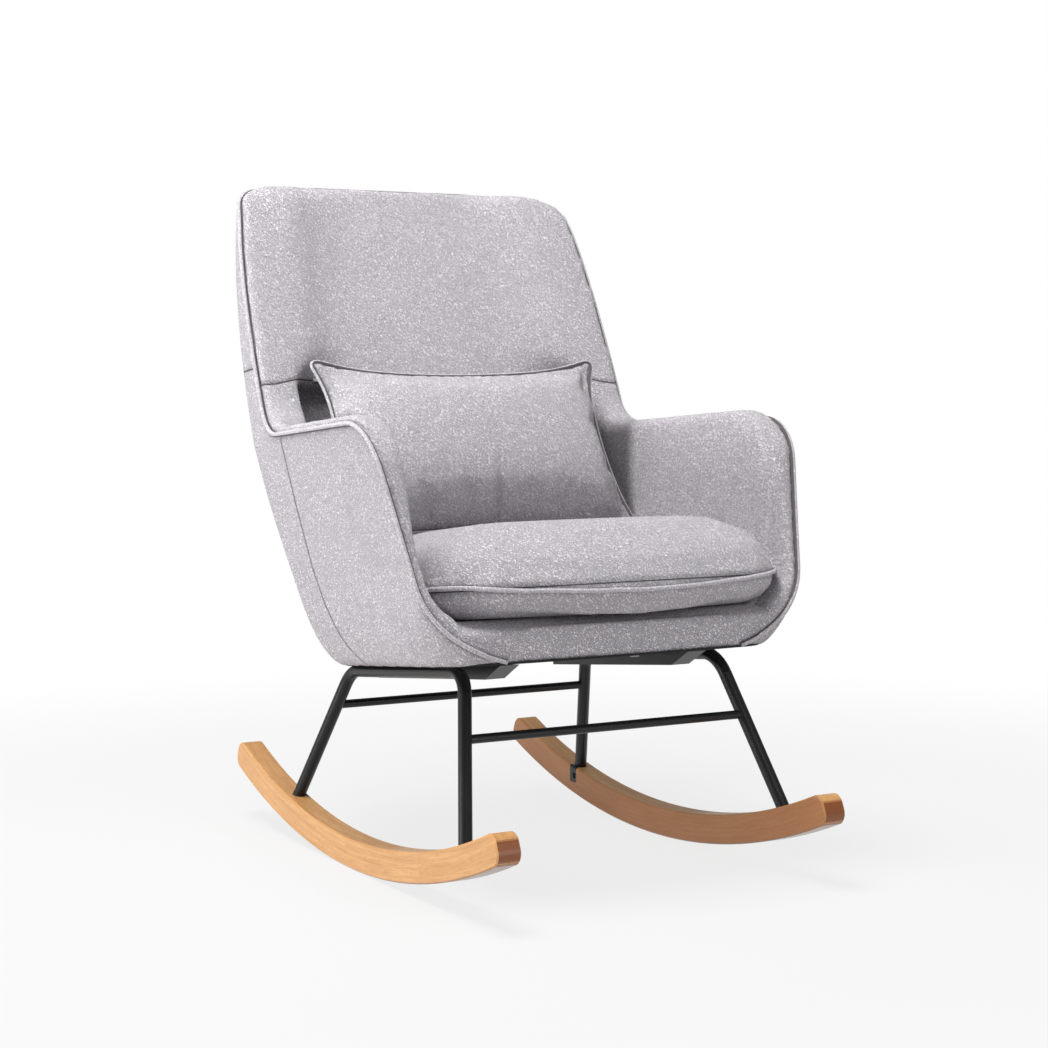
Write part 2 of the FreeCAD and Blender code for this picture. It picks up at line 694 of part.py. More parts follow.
def behind_seam():
    """Block of everything behind the side seams."""
    places = [vec(0, y * TUB_DEPTH, height * TUB_HEIGHT) for y, height in SEAM_SHARES]
    curve = Part.BSplineCurve()
    curve.interpolate(places)
    steps = curve.discretize(SEAM_STEPS + 1)
    first = places[0]
    last = places[-1]
    below = vec(0, first.y, -OVERRUN)
    above = vec(0, last.y, TUB_HEIGHT + OVERRUN)
    rear_above = vec(0, TUB_DEPTH + OVERRUN, TUB_HEIGHT + OVERRUN)
    rear_below = vec(0, TUB_DEPTH + OVERRUN, -OVERRUN)
    corners = steps + [above, rear_above, rear_below, below, first]
    wide = TUB_HALF_WIDTH + OVERRUN
    return across_x(Part.makePolygon(corners), -wide, wide)


def span(x=None, y=None, z=None):
    """Block between limits, and past the tub where no limit is given."""
    far = TUB_HALF_WIDTH + TUB_HEIGHT
    limits = [pair if pair else (-far, far) for pair in (x, y, z)]
    return box([pair[0] for pair in limits], [pair[1] for pair in limits])


def biggest(shape):
    return max(shape.Solids, key=lambda solid: solid.Volume)


# Welt cords

def side_x(y, z):
    """Half width of the tub's side at a depth and height."""
    level = 0
    while level < len(LEVEL_SHARES) - 2 and level_height(level + 1) < z:
        level += 1
    share = (z - level_height(level)) / (level_height(level + 1) - level_height(level))

    def mixed(values):
        return values[level] + (values[level + 1] - values[level]) * share

    rear_y = mixed(REAR_DEPTH_SHARES) * TUB_DEPTH - REAR_CORNER_RADIUS
    corner = max(mixed(FRONT_CORNER_SHARES) * REAR_CORNER_RADIUS, SMALLEST_CORNER)
    front_y = TUB_FRONT_Y + corner
    rear_x = mixed(REAR_WIDTH_SHARES) * TUB_HALF_WIDTH
    front_x = mixed(FRONT_WIDTH_SHARES) * TUB_HALF_WIDTH
    if y < front_y:
        drop = min(front_y - y, corner)
        return front_x - corner + math.sqrt(corner * corner - drop * drop)
    return front_x + (rear_x - front_x) * (y - front_y) / (rear_y - front_y)


def welt_stations():
    """Points of the arm welt, from the front corner over the arm to the shoulder."""
    outline = side_outline(RABBET - WELT_RADIUS - WELT_GAP)
    stations = []
    for edge in outline.Edges:
        steps = WELT_STEPS if edge.Curve.TypeId == "Part::GeomCircle" else 2
        for place in edge.discretize(steps + 1)[:-1]:
            on_welt = WELT_FOOT_HEIGHT < place.z < BACK_SHOULDER_HEIGHT and place.y < WING_TOP_Y
            if on_welt:
                stations.append(vec(side_x(place.y, place.z) + WELT_GAP, place.y, place.z))
    return stations


def cord_ring(centre, heading, across, radius, sides):
    """Regular section square to a heading, one of its corners in a steady direction."""
    side = heading.cross(across)
    side.normalize()
    out = side.cross(heading)
    corners = []
    for corner in range(sides):
        angle = 2 * math.pi * corner / sides
        corners.append(centre + side * (radius * math.cos(angle)) + out * (radius * math.sin(angle)))
    return corners


def cord(stations, across, radius, sides):
    """Many-sided cord through a row of stations."""
    rings = []
    for index, centre in enumerate(stations):
        before = stations[max(index - 1, 0)]
        after = stations[min(index + 1, len(stations) - 1)]
        heading = after - before
        heading.normalize()
        rings.append(cord_ring(centre, heading, across, radius, sides))
    return ruled_solid(rings)


def flat_cord(outline, normal, radius):
    """Cord round a flat outline, closed but for its butt joint."""
    closing = outline[0] - outline[-1]
    stations = outline + [outline[0] - closing * (radius / closing.Length)]
    return cord(stations, normal, radius, CORD_SIDES)


# Loose cushion and pillow

def cushion_body(shrink):
    """Crowned cushion with drawn-in sides, less a cover thickness all round."""
    height = CUSHION_TOP - CUSHION_BOTTOM - 2 * shrink
    sections = []
    for level_share, inset_share in zip(CUSHION_LEVEL_SHARES, CUSHION_INSET_SHARES):
        inset = CUSHION_EDGE_INSET * inset_share + shrink
        sections.append(plan_outline(
            CUSHION_FRONT_HALF_WIDTH - inset, CUSHION_REAR_HALF_WIDTH - inset,
            CUSHION_FRONT_Y + inset, CUSHION_REAR_Y - inset * CUSHION_REAR_INSET_SHARE,
            CUSHION_FRONT_CORNER - inset / 2, CUSHION_REAR_CORNER - inset / 4, CUSHION_FRONT_BOW,
            CUSHION_BOTTOM + shrink + height * level_share,
        ))
    return ruled_solid(sections)


def cushion_welt():
    """Cord round the widest line of the cushion."""
    outward = WELT_RADIUS + WELT_GAP
    ring = plan_outline(
        CUSHION_FRONT_HALF_WIDTH + outward, CUSHION_REAR_HALF_WIDTH + outward,
        CUSHION_FRONT_Y - outward, CUSHION_REAR_Y + outward,
        CUSHION_FRONT_CORNER, CUSHION_REAR_CORNER, CUSHION_FRONT_BOW,
        CUSHION_BOTTOM + (CUSHION_TOP - CUSHION_BOTTOM) * CUSHION_LEVEL_SHARES[3],
    )
    return flat_cord(ring, vec(0, 0, 1), WELT_RADIUS)


def cushion_zip(body):
    """Zip tape across the rear of the cushion cover."""
    skin = cushion_body(-ZIP_THICKNESS).cut(body)
    behind = (0, CUSHION_REAR_Y + OVERRUN)
    zone = span(x=(-ZIP_LENGTH / 2, ZIP_LENGTH / 2), y=behind, z=(ZIP_HEIGHT, ZIP_HEIGHT + ZIP_WIDTH))
    return biggest(skin.common(zone))


def pillow_outline(size, grow, thickness):
    """Outline of the pillow in its own plane, its sides drawn in between the corners."""
    half_width = PILLOW_HALF_WIDTH * size + grow
    half_height = PILLOW_HEIGHT / 2 * size + grow
    taper = PILLOW_TAPER * size
    sags = [size * sag for sag in (PILLOW_EDGE_SAG, PILLOW_EDGE_SAG, PILLOW_EDGE_SAG, PILLOW_FOOT_SAG)]
    corners = [
        vec(half_width + taper, thickness, -half_height), vec(half_width - taper, thickness, half_height),
        vec(-half_width + taper, thickness, half_height), vec(-half_width - taper, thickness, -half_height),
    ]
    inward = [vec(-1, 0, 0), vec(0, 0, -1), vec(1, 0, 0), vec(0, 0, 1)]
    reach = PILLOW_CORNER_ROUND * size
    edges = []
    for index, corner in enumerate(corners):
        follower = corners[(index + 1) % 4]
        following = corners[(index + 2) % 4]
        heading = follower - corner
        turning = following - follower
        heading.normalize()
        turning.normalize()
        start = corner + heading * reach
        end = follower - heading * reach
        middle = (start + end) * 0.5 + inward[index] * sags[index]
        edges.append(Part.Arc(start, middle, end).toShape())
        rounding = follower - (heading - turning) * (reach * (1 - math.sqrt(0.5)))
        edges.append(Part.Arc(end, rounding, follower + turning * reach).toShape())
    return faceted(Part.Wire(edges), SOFT_STEPS)


def pillow_place(shape):
    """Lean a pillow piece back on its foot."""
    placed = shape.copy()
    placed.translate(vec(0, 0, PILLOW_HEIGHT / 2))
    placed.rotate(vec(0, 0, 0), vec(1, 0, 0), -PILLOW_LEAN)
    placed.translate(vec(0, PILLOW_FOOT_Y, PILLOW_FOOT_HEIGHT))
    return placed


def pillow_body(shrink):
    """Stuffed pillow, less a cover thickness at its edges and its bellies."""
    scale = 1 - 2 * shrink / PILLOW_HEIGHT
    sections = []
    for level_share, size_share in zip(PILLOW_LEVEL_SHARES, PILLOW_SIZE_SHARES):
        belly = PILLOW_FRONT_BELLY if level_share < 0 else PILLOW_REAR_BELLY
        sections.append(pillow_outline(size_share * scale, 0, (belly - shrink) * level_share))
    return ruled_solid(sections)


def pillow_welt():
    """Cord round the pillow's edge."""
    outline = pillow_outline(1, PILLOW_WELT_RADIUS + WELT_GAP, 0)
    return flat_cord(outline, vec(0, 1, 0), PILLOW_WELT_RADIUS)


# Pieces of each group

def base_parts():
    """Rockers, hoops, bars and their fixings, in the chair's own frame."""
    parts = {}
    outer, inner = hoop_rods()
    rear_foot, rear_bend, front_bend, front_foot = hoop_corners()
    blank = rocker_blank()
    inner_face = ROCKER_HALF_SPACING - ROCKER_WIDTH / 2

    tube = outer.cut(inner).cut(blank)
    hoop = biggest(tube)

    tang_top = rear_foot.z
    tang = box((inner_face, REAR_FOOT_Y - TANG_WIDTH / 2, tang_top - TANG_DEPTH),
               (inner_face + TANG_THICKNESS, REAR_FOOT_Y + TANG_WIDTH / 2, tang_top + TANG_THICKNESS))
    tang = tang.cut(hoop)
    tang = biggest(tang.common(blank))
    screw_base = vec(inner_face - SCREW_HEAD_HEIGHT, REAR_FOOT_Y, tang_top - TANG_DEPTH * SCREW_DROP_SHARE)
    shank = cylinder(screw_base, vec(1, 0, 0), SCREW_DIAMETER / 2, ROCKER_SCREW_LENGTH)
    head = cylinder(screw_base, vec(1, 0, 0), SCREW_HEAD_DIAMETER / 2, SCREW_HEAD_HEIGHT)
    screw = shank.fuse(head).removeSplitter()
    tang_drilled = tang.cut(shank)

    lean = front_foot - front_bend
    lean.normalize()
    stud = cylinder(front_foot - lean * STUD_DIAMETER, lean, STUD_DIAMETER / 2, STUD_LENGTH + STUD_DIAMETER)
    stud = biggest(stud.common(blank))
    rocker = blank.cut(tang).cut(shank).cut(stud)

    parts["rocker_right"] = rocker
    parts["rocker_left"] = mirrored(rocker)
    parts["leg_hoop_right"] = hoop
    parts["leg_hoop_left"] = mirrored(hoop)
    parts["rear_foot_tangs"] = Part.makeCompound([tang_drilled, mirrored(tang_drilled)])
    parts["front_foot_studs"] = Part.makeCompound([stud, mirrored(stud)])
    parts["rocker_screws"] = Part.makeCompound([screw, mirrored(screw)])
    rods = [outer, mirrored(outer)]
    parts["rear_crossbar"] = crossbar(rear_foot, rear_bend, REAR_BAR_SHARE, rods)
    parts["front_crossbar"] = crossbar(front_foot, front_bend, FRONT_BAR_SHARE, rods)
    parts["mount_strap_front"] = mount_strap(STRAP_FRONT_Y, rods)
    parts["mount_strap_rear"] = mount_strap(STRAP_REAR_Y, rods)
    return parts


def frame_parts(tub_board, tub_cover):
    """Rails, boards, posts, webbing and fixings of the seat unit."""
    parts = {}
    beam = mount_beam()
    parts["mount_beam_right"] = beam
    parts["mount_beam_left"] = mirrored(beam)
    bolts = [seat_bolt(x, y) for x, y in bolt_places()]
    parts["seat_bolts"] = Part.makeCompound(bolts)
    inserts = [threaded_insert(x, y) for x, y in bolt_places()]
    parts["threaded_inserts"] = Part.makeCompound(inserts)

    low = DUST_COVER_THICKNESS
    high = low + SEAT_RAIL_HEIGHT
    far = TUB_HALF_WIDTH
    cover = tub_cover.common(span(z=(0, low)))
    for x, y in bolt_places():
        cover = cover.cut(socket(x, y, -OVERRUN, OVERRUN, BOLT_HOLE_RADIUS))
    parts["dust_cover"] = biggest(cover)
    slab = tub_board.common(span(z=(low, high)))
    front_span = span(y=(-far, FRONT_RAIL_REAR_Y))
    rear_span = span(y=(REAR_RAIL_FRONT_Y, TUB_DEPTH))
    parts["seat_rail_front"] = biggest(slab.common(front_span))
    parts["seat_rail_rear"] = biggest(slab.common(rear_span))
    side_rail = slab.common(span(x=(SIDE_RAIL_INNER_X, far), y=(FRONT_RAIL_REAR_Y, REAR_RAIL_FRONT_Y)))
    parts["seat_rail_right"] = biggest(side_rail)
    parts["seat_rail_left"] = mirrored(parts["seat_rail_right"])
    holes = [socket(x, y, 0, low + INSERT_LENGTH, INSERT_DIAMETER / 2) for x, y in bolt_places()]
    tips = [socket(x, y, 0, BOLT_GRIP + SOFT_GAP, BOLT_HOLE_RADIUS) for x, y in bolt_places()]
    for name, y in (("cross_rail_front", STRAP_FRONT_Y), ("cross_rail_rear", STRAP_REAR_Y)):
        rail = box((-SIDE_RAIL_INNER_X, y - CROSS_RAIL_WIDTH / 2, low),
                   (SIDE_RAIL_INNER_X, y + CROSS_RAIL_WIDTH / 2, high))
        for tool in holes + tips:
            rail = rail.cut(tool)
        parts[name] = biggest(rail)

    web_low = high + SOFT_GAP
    parts["seat_webbing"] = seat_webbing(web_low)
    deck_low = web_low + 2 * WEB_THICKNESS + SOFT_GAP
    deck_high = CUSHION_BOTTOM - SOFT_GAP
    parts["seat_deck"] = biggest(tub_board.common(span(y=(FRONT_RAIL_REAR_Y, TUB_DEPTH), z=(deck_low, deck_high))))

    board = tub_cover.cut(tub_board).common(side_profile(BOARD_EDGE_INSET))
    board = board.common(span(x=(0, far), y=(-far, BOARD_REAR_Y), z=(low, TUB_HEIGHT)))
    parts["side_board_right"] = biggest(board)
    parts["side_board_left"] = mirrored(parts["side_board_right"])

    back = tub_cover.common(side_profile(BACK_EDGE)).common(back_slab(1, BACK_FRAME_DEPTH))
    post = biggest(back.common(span(x=(BACK_POST_INNER_X, BACK_POST_OUTER_X), z=(deck_high, BACK_SHOULDER_HEIGHT))))
    parts["back_post_right"] = post
    parts["back_post_left"] = mirrored(post)
    between = (-BACK_POST_INNER_X, BACK_POST_INNER_X)
    top_rail = span(x=between, z=(BACK_SHOULDER_HEIGHT - BACK_RAIL_HEIGHT, BACK_SHOULDER_HEIGHT))
    parts["back_rail_top"] = biggest(back.common(top_rail))
    parts["back_rail_low"] = biggest(back.common(span(x=between, z=(deck_high, deck_high + BACK_RAIL_HEIGHT))))
    straps = back_slab(1, WEB_THICKNESS)
    webs = []
    for strap in range(BACK_WEB_COUNT):
        base = BACK_WEB_LOW + strap * BACK_WEB_PITCH
        webs.append(straps.common(span(x=between, z=(base, base + WEB_WIDTH))))
    parts["back_webbing"] = Part.makeCompound(webs)
    return parts


def seat_webbing(low):
    """Straps lengthwise, with straps across them."""
    straps = []
    wide = 2 * SIDE_RAIL_INNER_X
    deep = REAR_RAIL_FRONT_Y - FRONT_RAIL_REAR_Y
    for strap in range(WEB_LENGTHWISE):
        x = -wide / 2 + wide * (strap + 0.5) / WEB_LENGTHWISE - WEB_WIDTH / 2
        straps.append(box((x, FRONT_RAIL_REAR_Y - SEAT_RAIL_LAP, low),
                          (x + WEB_WIDTH, REAR_RAIL_FRONT_Y + SEAT_RAIL_LAP, low + WEB_THICKNESS)))
    for strap in range(WEB_CROSSWISE):
        y = FRONT_RAIL_REAR_Y + deep * (strap + 0.5) / WEB_CROSSWISE - WEB_WIDTH / 2
        straps.append(box((-wide / 2 - SEAT_RAIL_LAP, y, low + WEB_THICKNESS),
                          (wide / 2 + SEAT_RAIL_LAP, y + WEB_WIDTH, low + 2 * WEB_THICKNESS)))
    return Part.makeCompound(straps)


def upholstery_parts(tub, tub_cover, hollow, inside):
    """Covers, pads and welts of the tub, shaped over the frame pieces."""
    parts = {}
    far = TUB_HALF_WIDTH
    shoulders = top_outline()
    skin = tub.cut(tub_cover).common(side_profile(RABBET)).common(shoulders)
    rear_block = behind_seam()
    parts["back_cover"] = biggest(skin.common(rear_block))
    arm_cover = skin.cut(rear_block).common(span(x=(0, far + OVERRUN)))
    parts["arm_cover_right"] = biggest(arm_cover)
    parts["arm_cover_left"] = mirrored(parts["arm_cover_right"])

    pad_low = CUSHION_BOTTOM - SOFT_GAP
    padding = tub_cover.common(side_profile(0)).common(shoulders)
    padding = padding.common(span(z=(pad_low, TUB_HEIGHT))).cut(hollow)
    rear = padding.common(span(x=(-BACK_PAD_HALF_WIDTH, BACK_PAD_HALF_WIDTH), y=(0, TUB_DEPTH)))
    behind = back_slab(1, TUB_DEPTH)
    back_pad = rear.cut(behind)
    parts["back_pad_upper"] = biggest(back_pad.common(span(z=(BACK_SEAM_HEIGHT, TUB_HEIGHT))))
    parts["back_pad_lower"] = biggest(back_pad.common(span(z=(pad_low, BACK_SEAM_HEIGHT))))
    parts["back_top_pad"] = biggest(rear.common(behind).common(span(z=(BACK_SHOULDER_HEIGHT, TUB_HEIGHT))))

    cavity = tub_body(COVER_THICKNESS + WING_LINING).common(behind)
    cavity = cavity.common(span(z=(0, BACK_SHOULDER_HEIGHT)))
    welt = cord(welt_stations(), vec(1, 0, 0), WELT_RADIUS, CORD_SIDES)
    parts["arm_welt_right"] = welt
    parts["arm_welt_left"] = mirrored(welt)
    arm_pad = padding.common(span(x=(BACK_PAD_HALF_WIDTH, far))).cut(cavity).cut(welt)
    for name in ("side_board_right", "back_post_right"):
        arm_pad = arm_pad.cut(inside[name])
    parts["arm_pad_right"] = biggest(arm_pad)
    parts["arm_pad_left"] = mirrored(parts["arm_pad_right"])

    front = tub_cover.common(span(y=(-2 * far, FRONT_RAIL_REAR_Y), z=(DUST_COVER_THICKNESS, pad_low)))
    for name in ("seat_rail_front", "side_board_right", "side_board_left", "seat_webbing"):
        front = front.cut(inside[name])
    parts["front_rail_pad"] = biggest(front.cut(welt).cut(mirrored(welt)))
    return parts


def loose_parts():
    """Seat cushion and lumbar pillow, which lift off."""
    parts = {}
    cushion = cushion_body(0)
    core = cushion_body(CUSHION_COVER_THICKNESS)
    parts["cushion_cover"] = cushion.cut(core)
    parts["cushion_core"] = core
    parts["cushion_welt"] = cushion_welt()
    parts["cushion_zip"] = cushion_zip(cushion)
    pillow = pillow_body(0)
    fill = pillow_body(PILLOW_COVER_THICKNESS)
    parts["pillow_cover"] = pillow_place(pillow.cut(fill))
    parts["pillow_fill"] = pillow_place(fill)
    parts["pillow_welt"] = pillow_place(pillow_welt())
    return parts


def write(name, shape):
    shape.exportStep(os.path.join("parts", name + ".step"))
    print(name, len(shape.Solids), round(shape.Volume), shape.isValid())


def main():
    os.makedirs("parts", exist_ok=True)
    tub = tub_body(0)
    tub_cover = tub_body(COVER_THICKNESS)
    tub_board = tub_body(COVER_THICKNESS + SIDE_BOARD_THICKNESS)
    hollow = hollow_body()
    inside = frame_parts(tub_board, tub_cover)
    unit = dict(inside)
    unit.update(upholstery_parts(tub, tub_cover, hollow, inside))
    unit.update(loose_parts())
    for name, shape in base_parts().items():
        write(name, shape)
    for name, shape in unit.items():
        write(name, unit_place(shape))


main()
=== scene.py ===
"""Upholstered rocking armchair: looped-cloth tub with piped edges, cushion, pillow and rockers."""

import json
import logging
import math
from dataclasses import dataclass
from enum import Enum
from typing import Callable, Iterable, Optional, Sequence

import bmesh
import bpy
import numpy as np
from mathutils import Matrix, Vector
from mathutils.bvhtree import BVHTree
from mathutils.kdtree import KDTree


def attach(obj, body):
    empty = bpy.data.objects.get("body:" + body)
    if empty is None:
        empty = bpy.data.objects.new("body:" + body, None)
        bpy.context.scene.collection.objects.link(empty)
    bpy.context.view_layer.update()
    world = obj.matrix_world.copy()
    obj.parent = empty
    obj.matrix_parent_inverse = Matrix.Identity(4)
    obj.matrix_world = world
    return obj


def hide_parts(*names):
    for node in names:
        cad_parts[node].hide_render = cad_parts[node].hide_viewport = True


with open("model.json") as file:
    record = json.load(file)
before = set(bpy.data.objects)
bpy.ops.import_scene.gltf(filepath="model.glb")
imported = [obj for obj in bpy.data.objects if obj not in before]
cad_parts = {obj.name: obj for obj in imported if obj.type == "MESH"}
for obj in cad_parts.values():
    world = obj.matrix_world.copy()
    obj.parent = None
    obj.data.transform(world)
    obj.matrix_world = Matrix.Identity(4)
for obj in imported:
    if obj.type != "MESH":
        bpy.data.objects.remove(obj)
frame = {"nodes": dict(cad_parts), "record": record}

log = logging.getLogger("armchair")
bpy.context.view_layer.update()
MM = 0.001


class Cut(Enum):
    """How one solid shapes another."""

    REMOVE = "DIFFERENCE"
    KEEP = "INTERSECT"


class Body(Enum):
    """The parts of the chair that move as one."""

    CHAIR = "chair"
    CUSHION = "seat_cushion"
    PILLOW = "lumbar_pillow"


# Shader sums


class Quantity:
    """A number or vector inside a material, with Python's own operators."""

    def __init__(self, shader: "Shader", socket: bpy.types.NodeSocket) -> None:
        """Wrap an output socket.

        Args:
            shader: The material being written.
            socket: The output that holds the value.
        """
        self.shader = shader
        self.socket = socket

    def _math(self, operation: str, *others: object, clamp: bool = False) -> "Quantity":
        """Add a Math node fed by this value.

        Args:
            operation: The node's operation.
            others: Further inputs, as numbers or quantities.
            clamp: Whether the result stays between 0 and 1.

        Returns:
            The node's result.
        """
        node = self.shader.add("ShaderNodeMath", operation=operation, use_clamp=clamp)
        self.shader.feed(node.inputs[0], self)
        for place, other in enumerate(others, 1):
            self.shader.feed(node.inputs[place], other)
        return Quantity(self.shader, node.outputs[0])

    def __add__(self, other: object) -> "Quantity":
        """Sum."""
        return self._math("ADD", other)

    __radd__ = __add__

    def __sub__(self, other: object) -> "Quantity":
        """Difference."""
        return self._math("SUBTRACT", other)

    def __rsub__(self, other: object) -> "Quantity":
        """Difference from a plain number."""
        return self._math("MULTIPLY", -1.0)._math("ADD", other)

    def __mul__(self, other: object) -> "Quantity":
        """Product."""
        return self._math("MULTIPLY", other)

    __rmul__ = __mul__

    def __truediv__(self, other: object) -> "Quantity":
        """Quotient."""
        return self._math("DIVIDE", other)

    def absolute(self) -> "Quantity":
        """Size without sign."""
        return self._math("ABSOLUTE")

    def root(self) -> "Quantity":
        """Square root."""
        return self._math("SQRT")

    def sine(self) -> "Quantity":
        """Sine of an angle."""
        return self._math("SINE")

    def angle_to(self, other: object) -> "Quantity":
        """Angle whose tangent is this value over the other."""
        return self._math("ARCTAN2", other)

    def lower_of(self, other: object) -> "Quantity":
        """The smaller of two values."""
        return self._math("MINIMUM", other)

    def upper_of(self, other: object) -> "Quantity":
        """The larger of two values."""
        return self._math("MAXIMUM", other)

    def ramp(self, low: float, high: float, start: float = 0.0, end: float = 1.0) -> "Quantity":
        """Smooth change from start to end while this value goes from low to high.

        Args:
            low: Where the change begins.
            high: Where it ends.
            start: Result below low.
            end: Result above high.

        Returns:
            The eased value.
        """
        node = self.shader.add("ShaderNodeMapRange", interpolation_type="SMOOTHSTEP")
        self.shader.feed(node.inputs["Value"], self)
        for name, value in (("From Min", low), ("From Max", high), ("To Min", start), ("To Max", end)):
            node.inputs[name].default_value = value
        return Quantity(self.shader, node.outputs["Result"])


class Shader:
    """One procedural material, written as expressions."""

    def __init__(self, name: str, **surface: object) -> None:
        """Start a material.

        Args:
            name: The material's name.
            surface: Values set on the surface shader's own sockets.
        """
        self.material = bpy.data.materials.new(name)
        self.material.use_nodes = True
        self.tree = self.material.node_tree
        self.surface = next(n for n in self.tree.nodes if n.type == "BSDF_PRINCIPLED")
        for socket, value in surface.items():
            self.surface.inputs[socket.replace("_", " ")].default_value = value
        coordinates = self.add("ShaderNodeTexCoord")
        self.place = Quantity(self, coordinates.outputs["Object"])

    def add(self, kind: str, **settings: object) -> bpy.types.Node:
        """Add a node.

        Args:
            kind: The node's type name.
            settings: Attributes of the node.

        Returns:
            The new node.
        """
        node = self.tree.nodes.new(kind)
        for name, value in settings.items():
            setattr(node, name, value)
        return node

    def feed(self, socket: bpy.types.NodeSocket, value: object) -> None:
        """Link a quantity to a socket, or set a plain number there.

        Args:
            socket: The input.
            value: A quantity or a constant.
        """
        if isinstance(value, Quantity):
            self.tree.links.new(value.socket, socket)
        else:
            socket.default_value = value

    def axes(self, source: Optional[Quantity] = None) -> tuple[Quantity, Quantity, Quantity]:
        """Split a place into its three coordinates.

        Args:
            source: The place, or the object's own coordinates.

        Returns:
            X, Y and Z.
        """
        node = self.add("ShaderNodeSeparateXYZ")
        self.feed(node.inputs[0], source or self.place)
        return tuple(Quantity(self, node.outputs[axis]) for axis in range(3))

    def joined(self, x: object, y: object, z: object) -> Quantity:
        """Place from three coordinates."""
        node = self.add("ShaderNodeCombineXYZ")
        for axis, value in enumerate((x, y, z)):
            self.feed(node.inputs[axis], value)
        return Quantity(self, node.outputs[0])

    def noise(self, scale: float, detail: float = 2.0, rough: float = 0.5,
              at: Optional[Quantity] = None) -> Quantity:
        """Soft random pattern.

        Args:
            scale: Waves per metre.
            detail: Number of finer layers.
            rough: Weight of the finer layers.
            at: Where it is read, or the object's own coordinates.

        Returns:
            A value round one half.
        """
        node = self.add("ShaderNodeTexNoise")
        self.feed(node.inputs["Vector"], at or self.place)
        node.inputs["Scale"].default_value = scale
        node.inputs["Detail"].default_value = detail
        node.inputs["Roughness"].default_value = rough
        return Quantity(self, node.outputs[0])

    def cells(self, scale: float, at: Quantity) -> tuple[Quantity, Quantity]:
        """Pattern of rounded cells.

        Args:
            scale: Cells per metre.
            at: Where it is read.

        Returns:
            Distance from each cell's middle, and a random shade for each cell.
        """
        node = self.add("ShaderNodeTexVoronoi")
        self.feed(node.inputs["Vector"], at)
        node.inputs["Scale"].default_value = scale
        shade, _, _ = self.axes(Quantity(self, node.outputs["Color"]))
        return Quantity(self, node.outputs["Distance"]), shade

    def blended(self, share: object, first: Sequence[float], second: object) -> Quantity:
        """Colour between two colours.

        Args:
            share: 0 for the first and 1 for the second.
            first: A colour, or a quantity.
            second: A colour, or a quantity.

        Returns:
            The mixed colour.
        """
        node = self.add("ShaderNodeMix", data_type="RGBA")
        self.feed(node.inputs["Factor"], share)
        for socket, colour in (("A", first), ("B", second)):
            target = next(i for i in node.inputs if i.name == socket and i.type == "RGBA")
            self.feed(target, colour if isinstance(colour, Quantity) else (*colour, 1.0))
        return Quantity(self, next(o for o in node.outputs if o.type == "RGBA"))

    def painted(self, name: str) -> Quantity:
        """Value painted on the piece's own points."""
        node = self.add("ShaderNodeAttribute", attribute_name=name)
        return Quantity(self, node.outputs["Fac"])

    def colour(self, value: Quantity) -> None:
        """Feed the base colour."""
        self.feed(self.surface.inputs["Base Color"], value)

    def roughness(self, value: Quantity) -> None:
        """Feed the roughness."""
        self.feed(self.surface.inputs["Roughness"], value)

    def relief(self, height: Quantity, depth: float, strength: float = 1.0) -> None:
        """Feed the surface normal from a height.

        Args:
            height: The height, from 0 to about 1.
            depth: Metres for a height of 1.
            strength: Share of the effect.
        """
        node = self.add("ShaderNodeBump")
        node.inputs["Strength"].default_value = strength
        node.inputs["Distance"].default_value = depth
        self.feed(node.inputs["Height"], height)
        self.tree.links.new(node.outputs[0], self.surface.inputs["Normal"])


# Finishes


@dataclass(frozen=True)
class SeatFrame:
    """The level frame in which the seat unit is laid out, tilted back on the legs."""

    tilt: float = math.radians(6.28)
    depth: float = -8.0 * MM
    height: float = 291.5 * MM

    def point(self, x: float, y: float, z: float) -> Vector:
        """Where a point of the seat unit lies on the chair.

        Args:
            x: Across, in millimetres.
            y: Depth, in millimetres.
            z: Height over the seat plane, in millimetres.

        Returns:
            The place in metres.
        """
        across, deep, high = x * MM, y * MM, z * MM
        return Vector((
            across,
            self.depth + deep * math.cos(self.tilt) + high * math.sin(self.tilt),
            self.height - deep * math.sin(self.tilt) + high * math.cos(self.tilt),
        ))

    def way(self, x: float, y: float, z: float) -> Vector:
        """A step of the level frame, in millimetres, as it runs on the chair."""
        return self.point(x, y, z) - self.point(0.0, 0.0, 0.0)

    def level(self, places: np.ndarray) -> np.ndarray:
        """Places of the chair in millimetres of the level frame.

        Args:
            places: Rows of metres.

        Returns:
            Rows of millimetres.
        """
        deep = places[:, 1] - self.depth
        high = places[:, 2] - self.height
        turned = np.empty_like(places)
        turned[:, 0] = places[:, 0]
        turned[:, 1] = deep * math.cos(self.tilt) - high * math.sin(self.tilt)
        turned[:, 2] = deep * math.sin(self.tilt) + high * math.cos(self.tilt)
        return turned / MM

    def coordinates(self, shader: Shader) -> tuple[Quantity, Quantity, Quantity]:
        """The level frame's millimetres inside a material.

        Args:
            shader: The material.

        Returns:
            Across, depth and height.
        """
        x, y, z = shader.axes()
        deep = y - self.depth
        high = z - self.height
        level_y = deep * math.cos(self.tilt) - high * math.sin(self.tilt)
        level_z = deep * math.sin(self.tilt) + high * math.cos(self.tilt)
        return x / MM, level_y / MM, level_z / MM


@dataclass(frozen=True)
class Seam:
    """A sewn line in the cloth where a measure is zero."""

    width: float = 1.5
    fold: float = 7.0


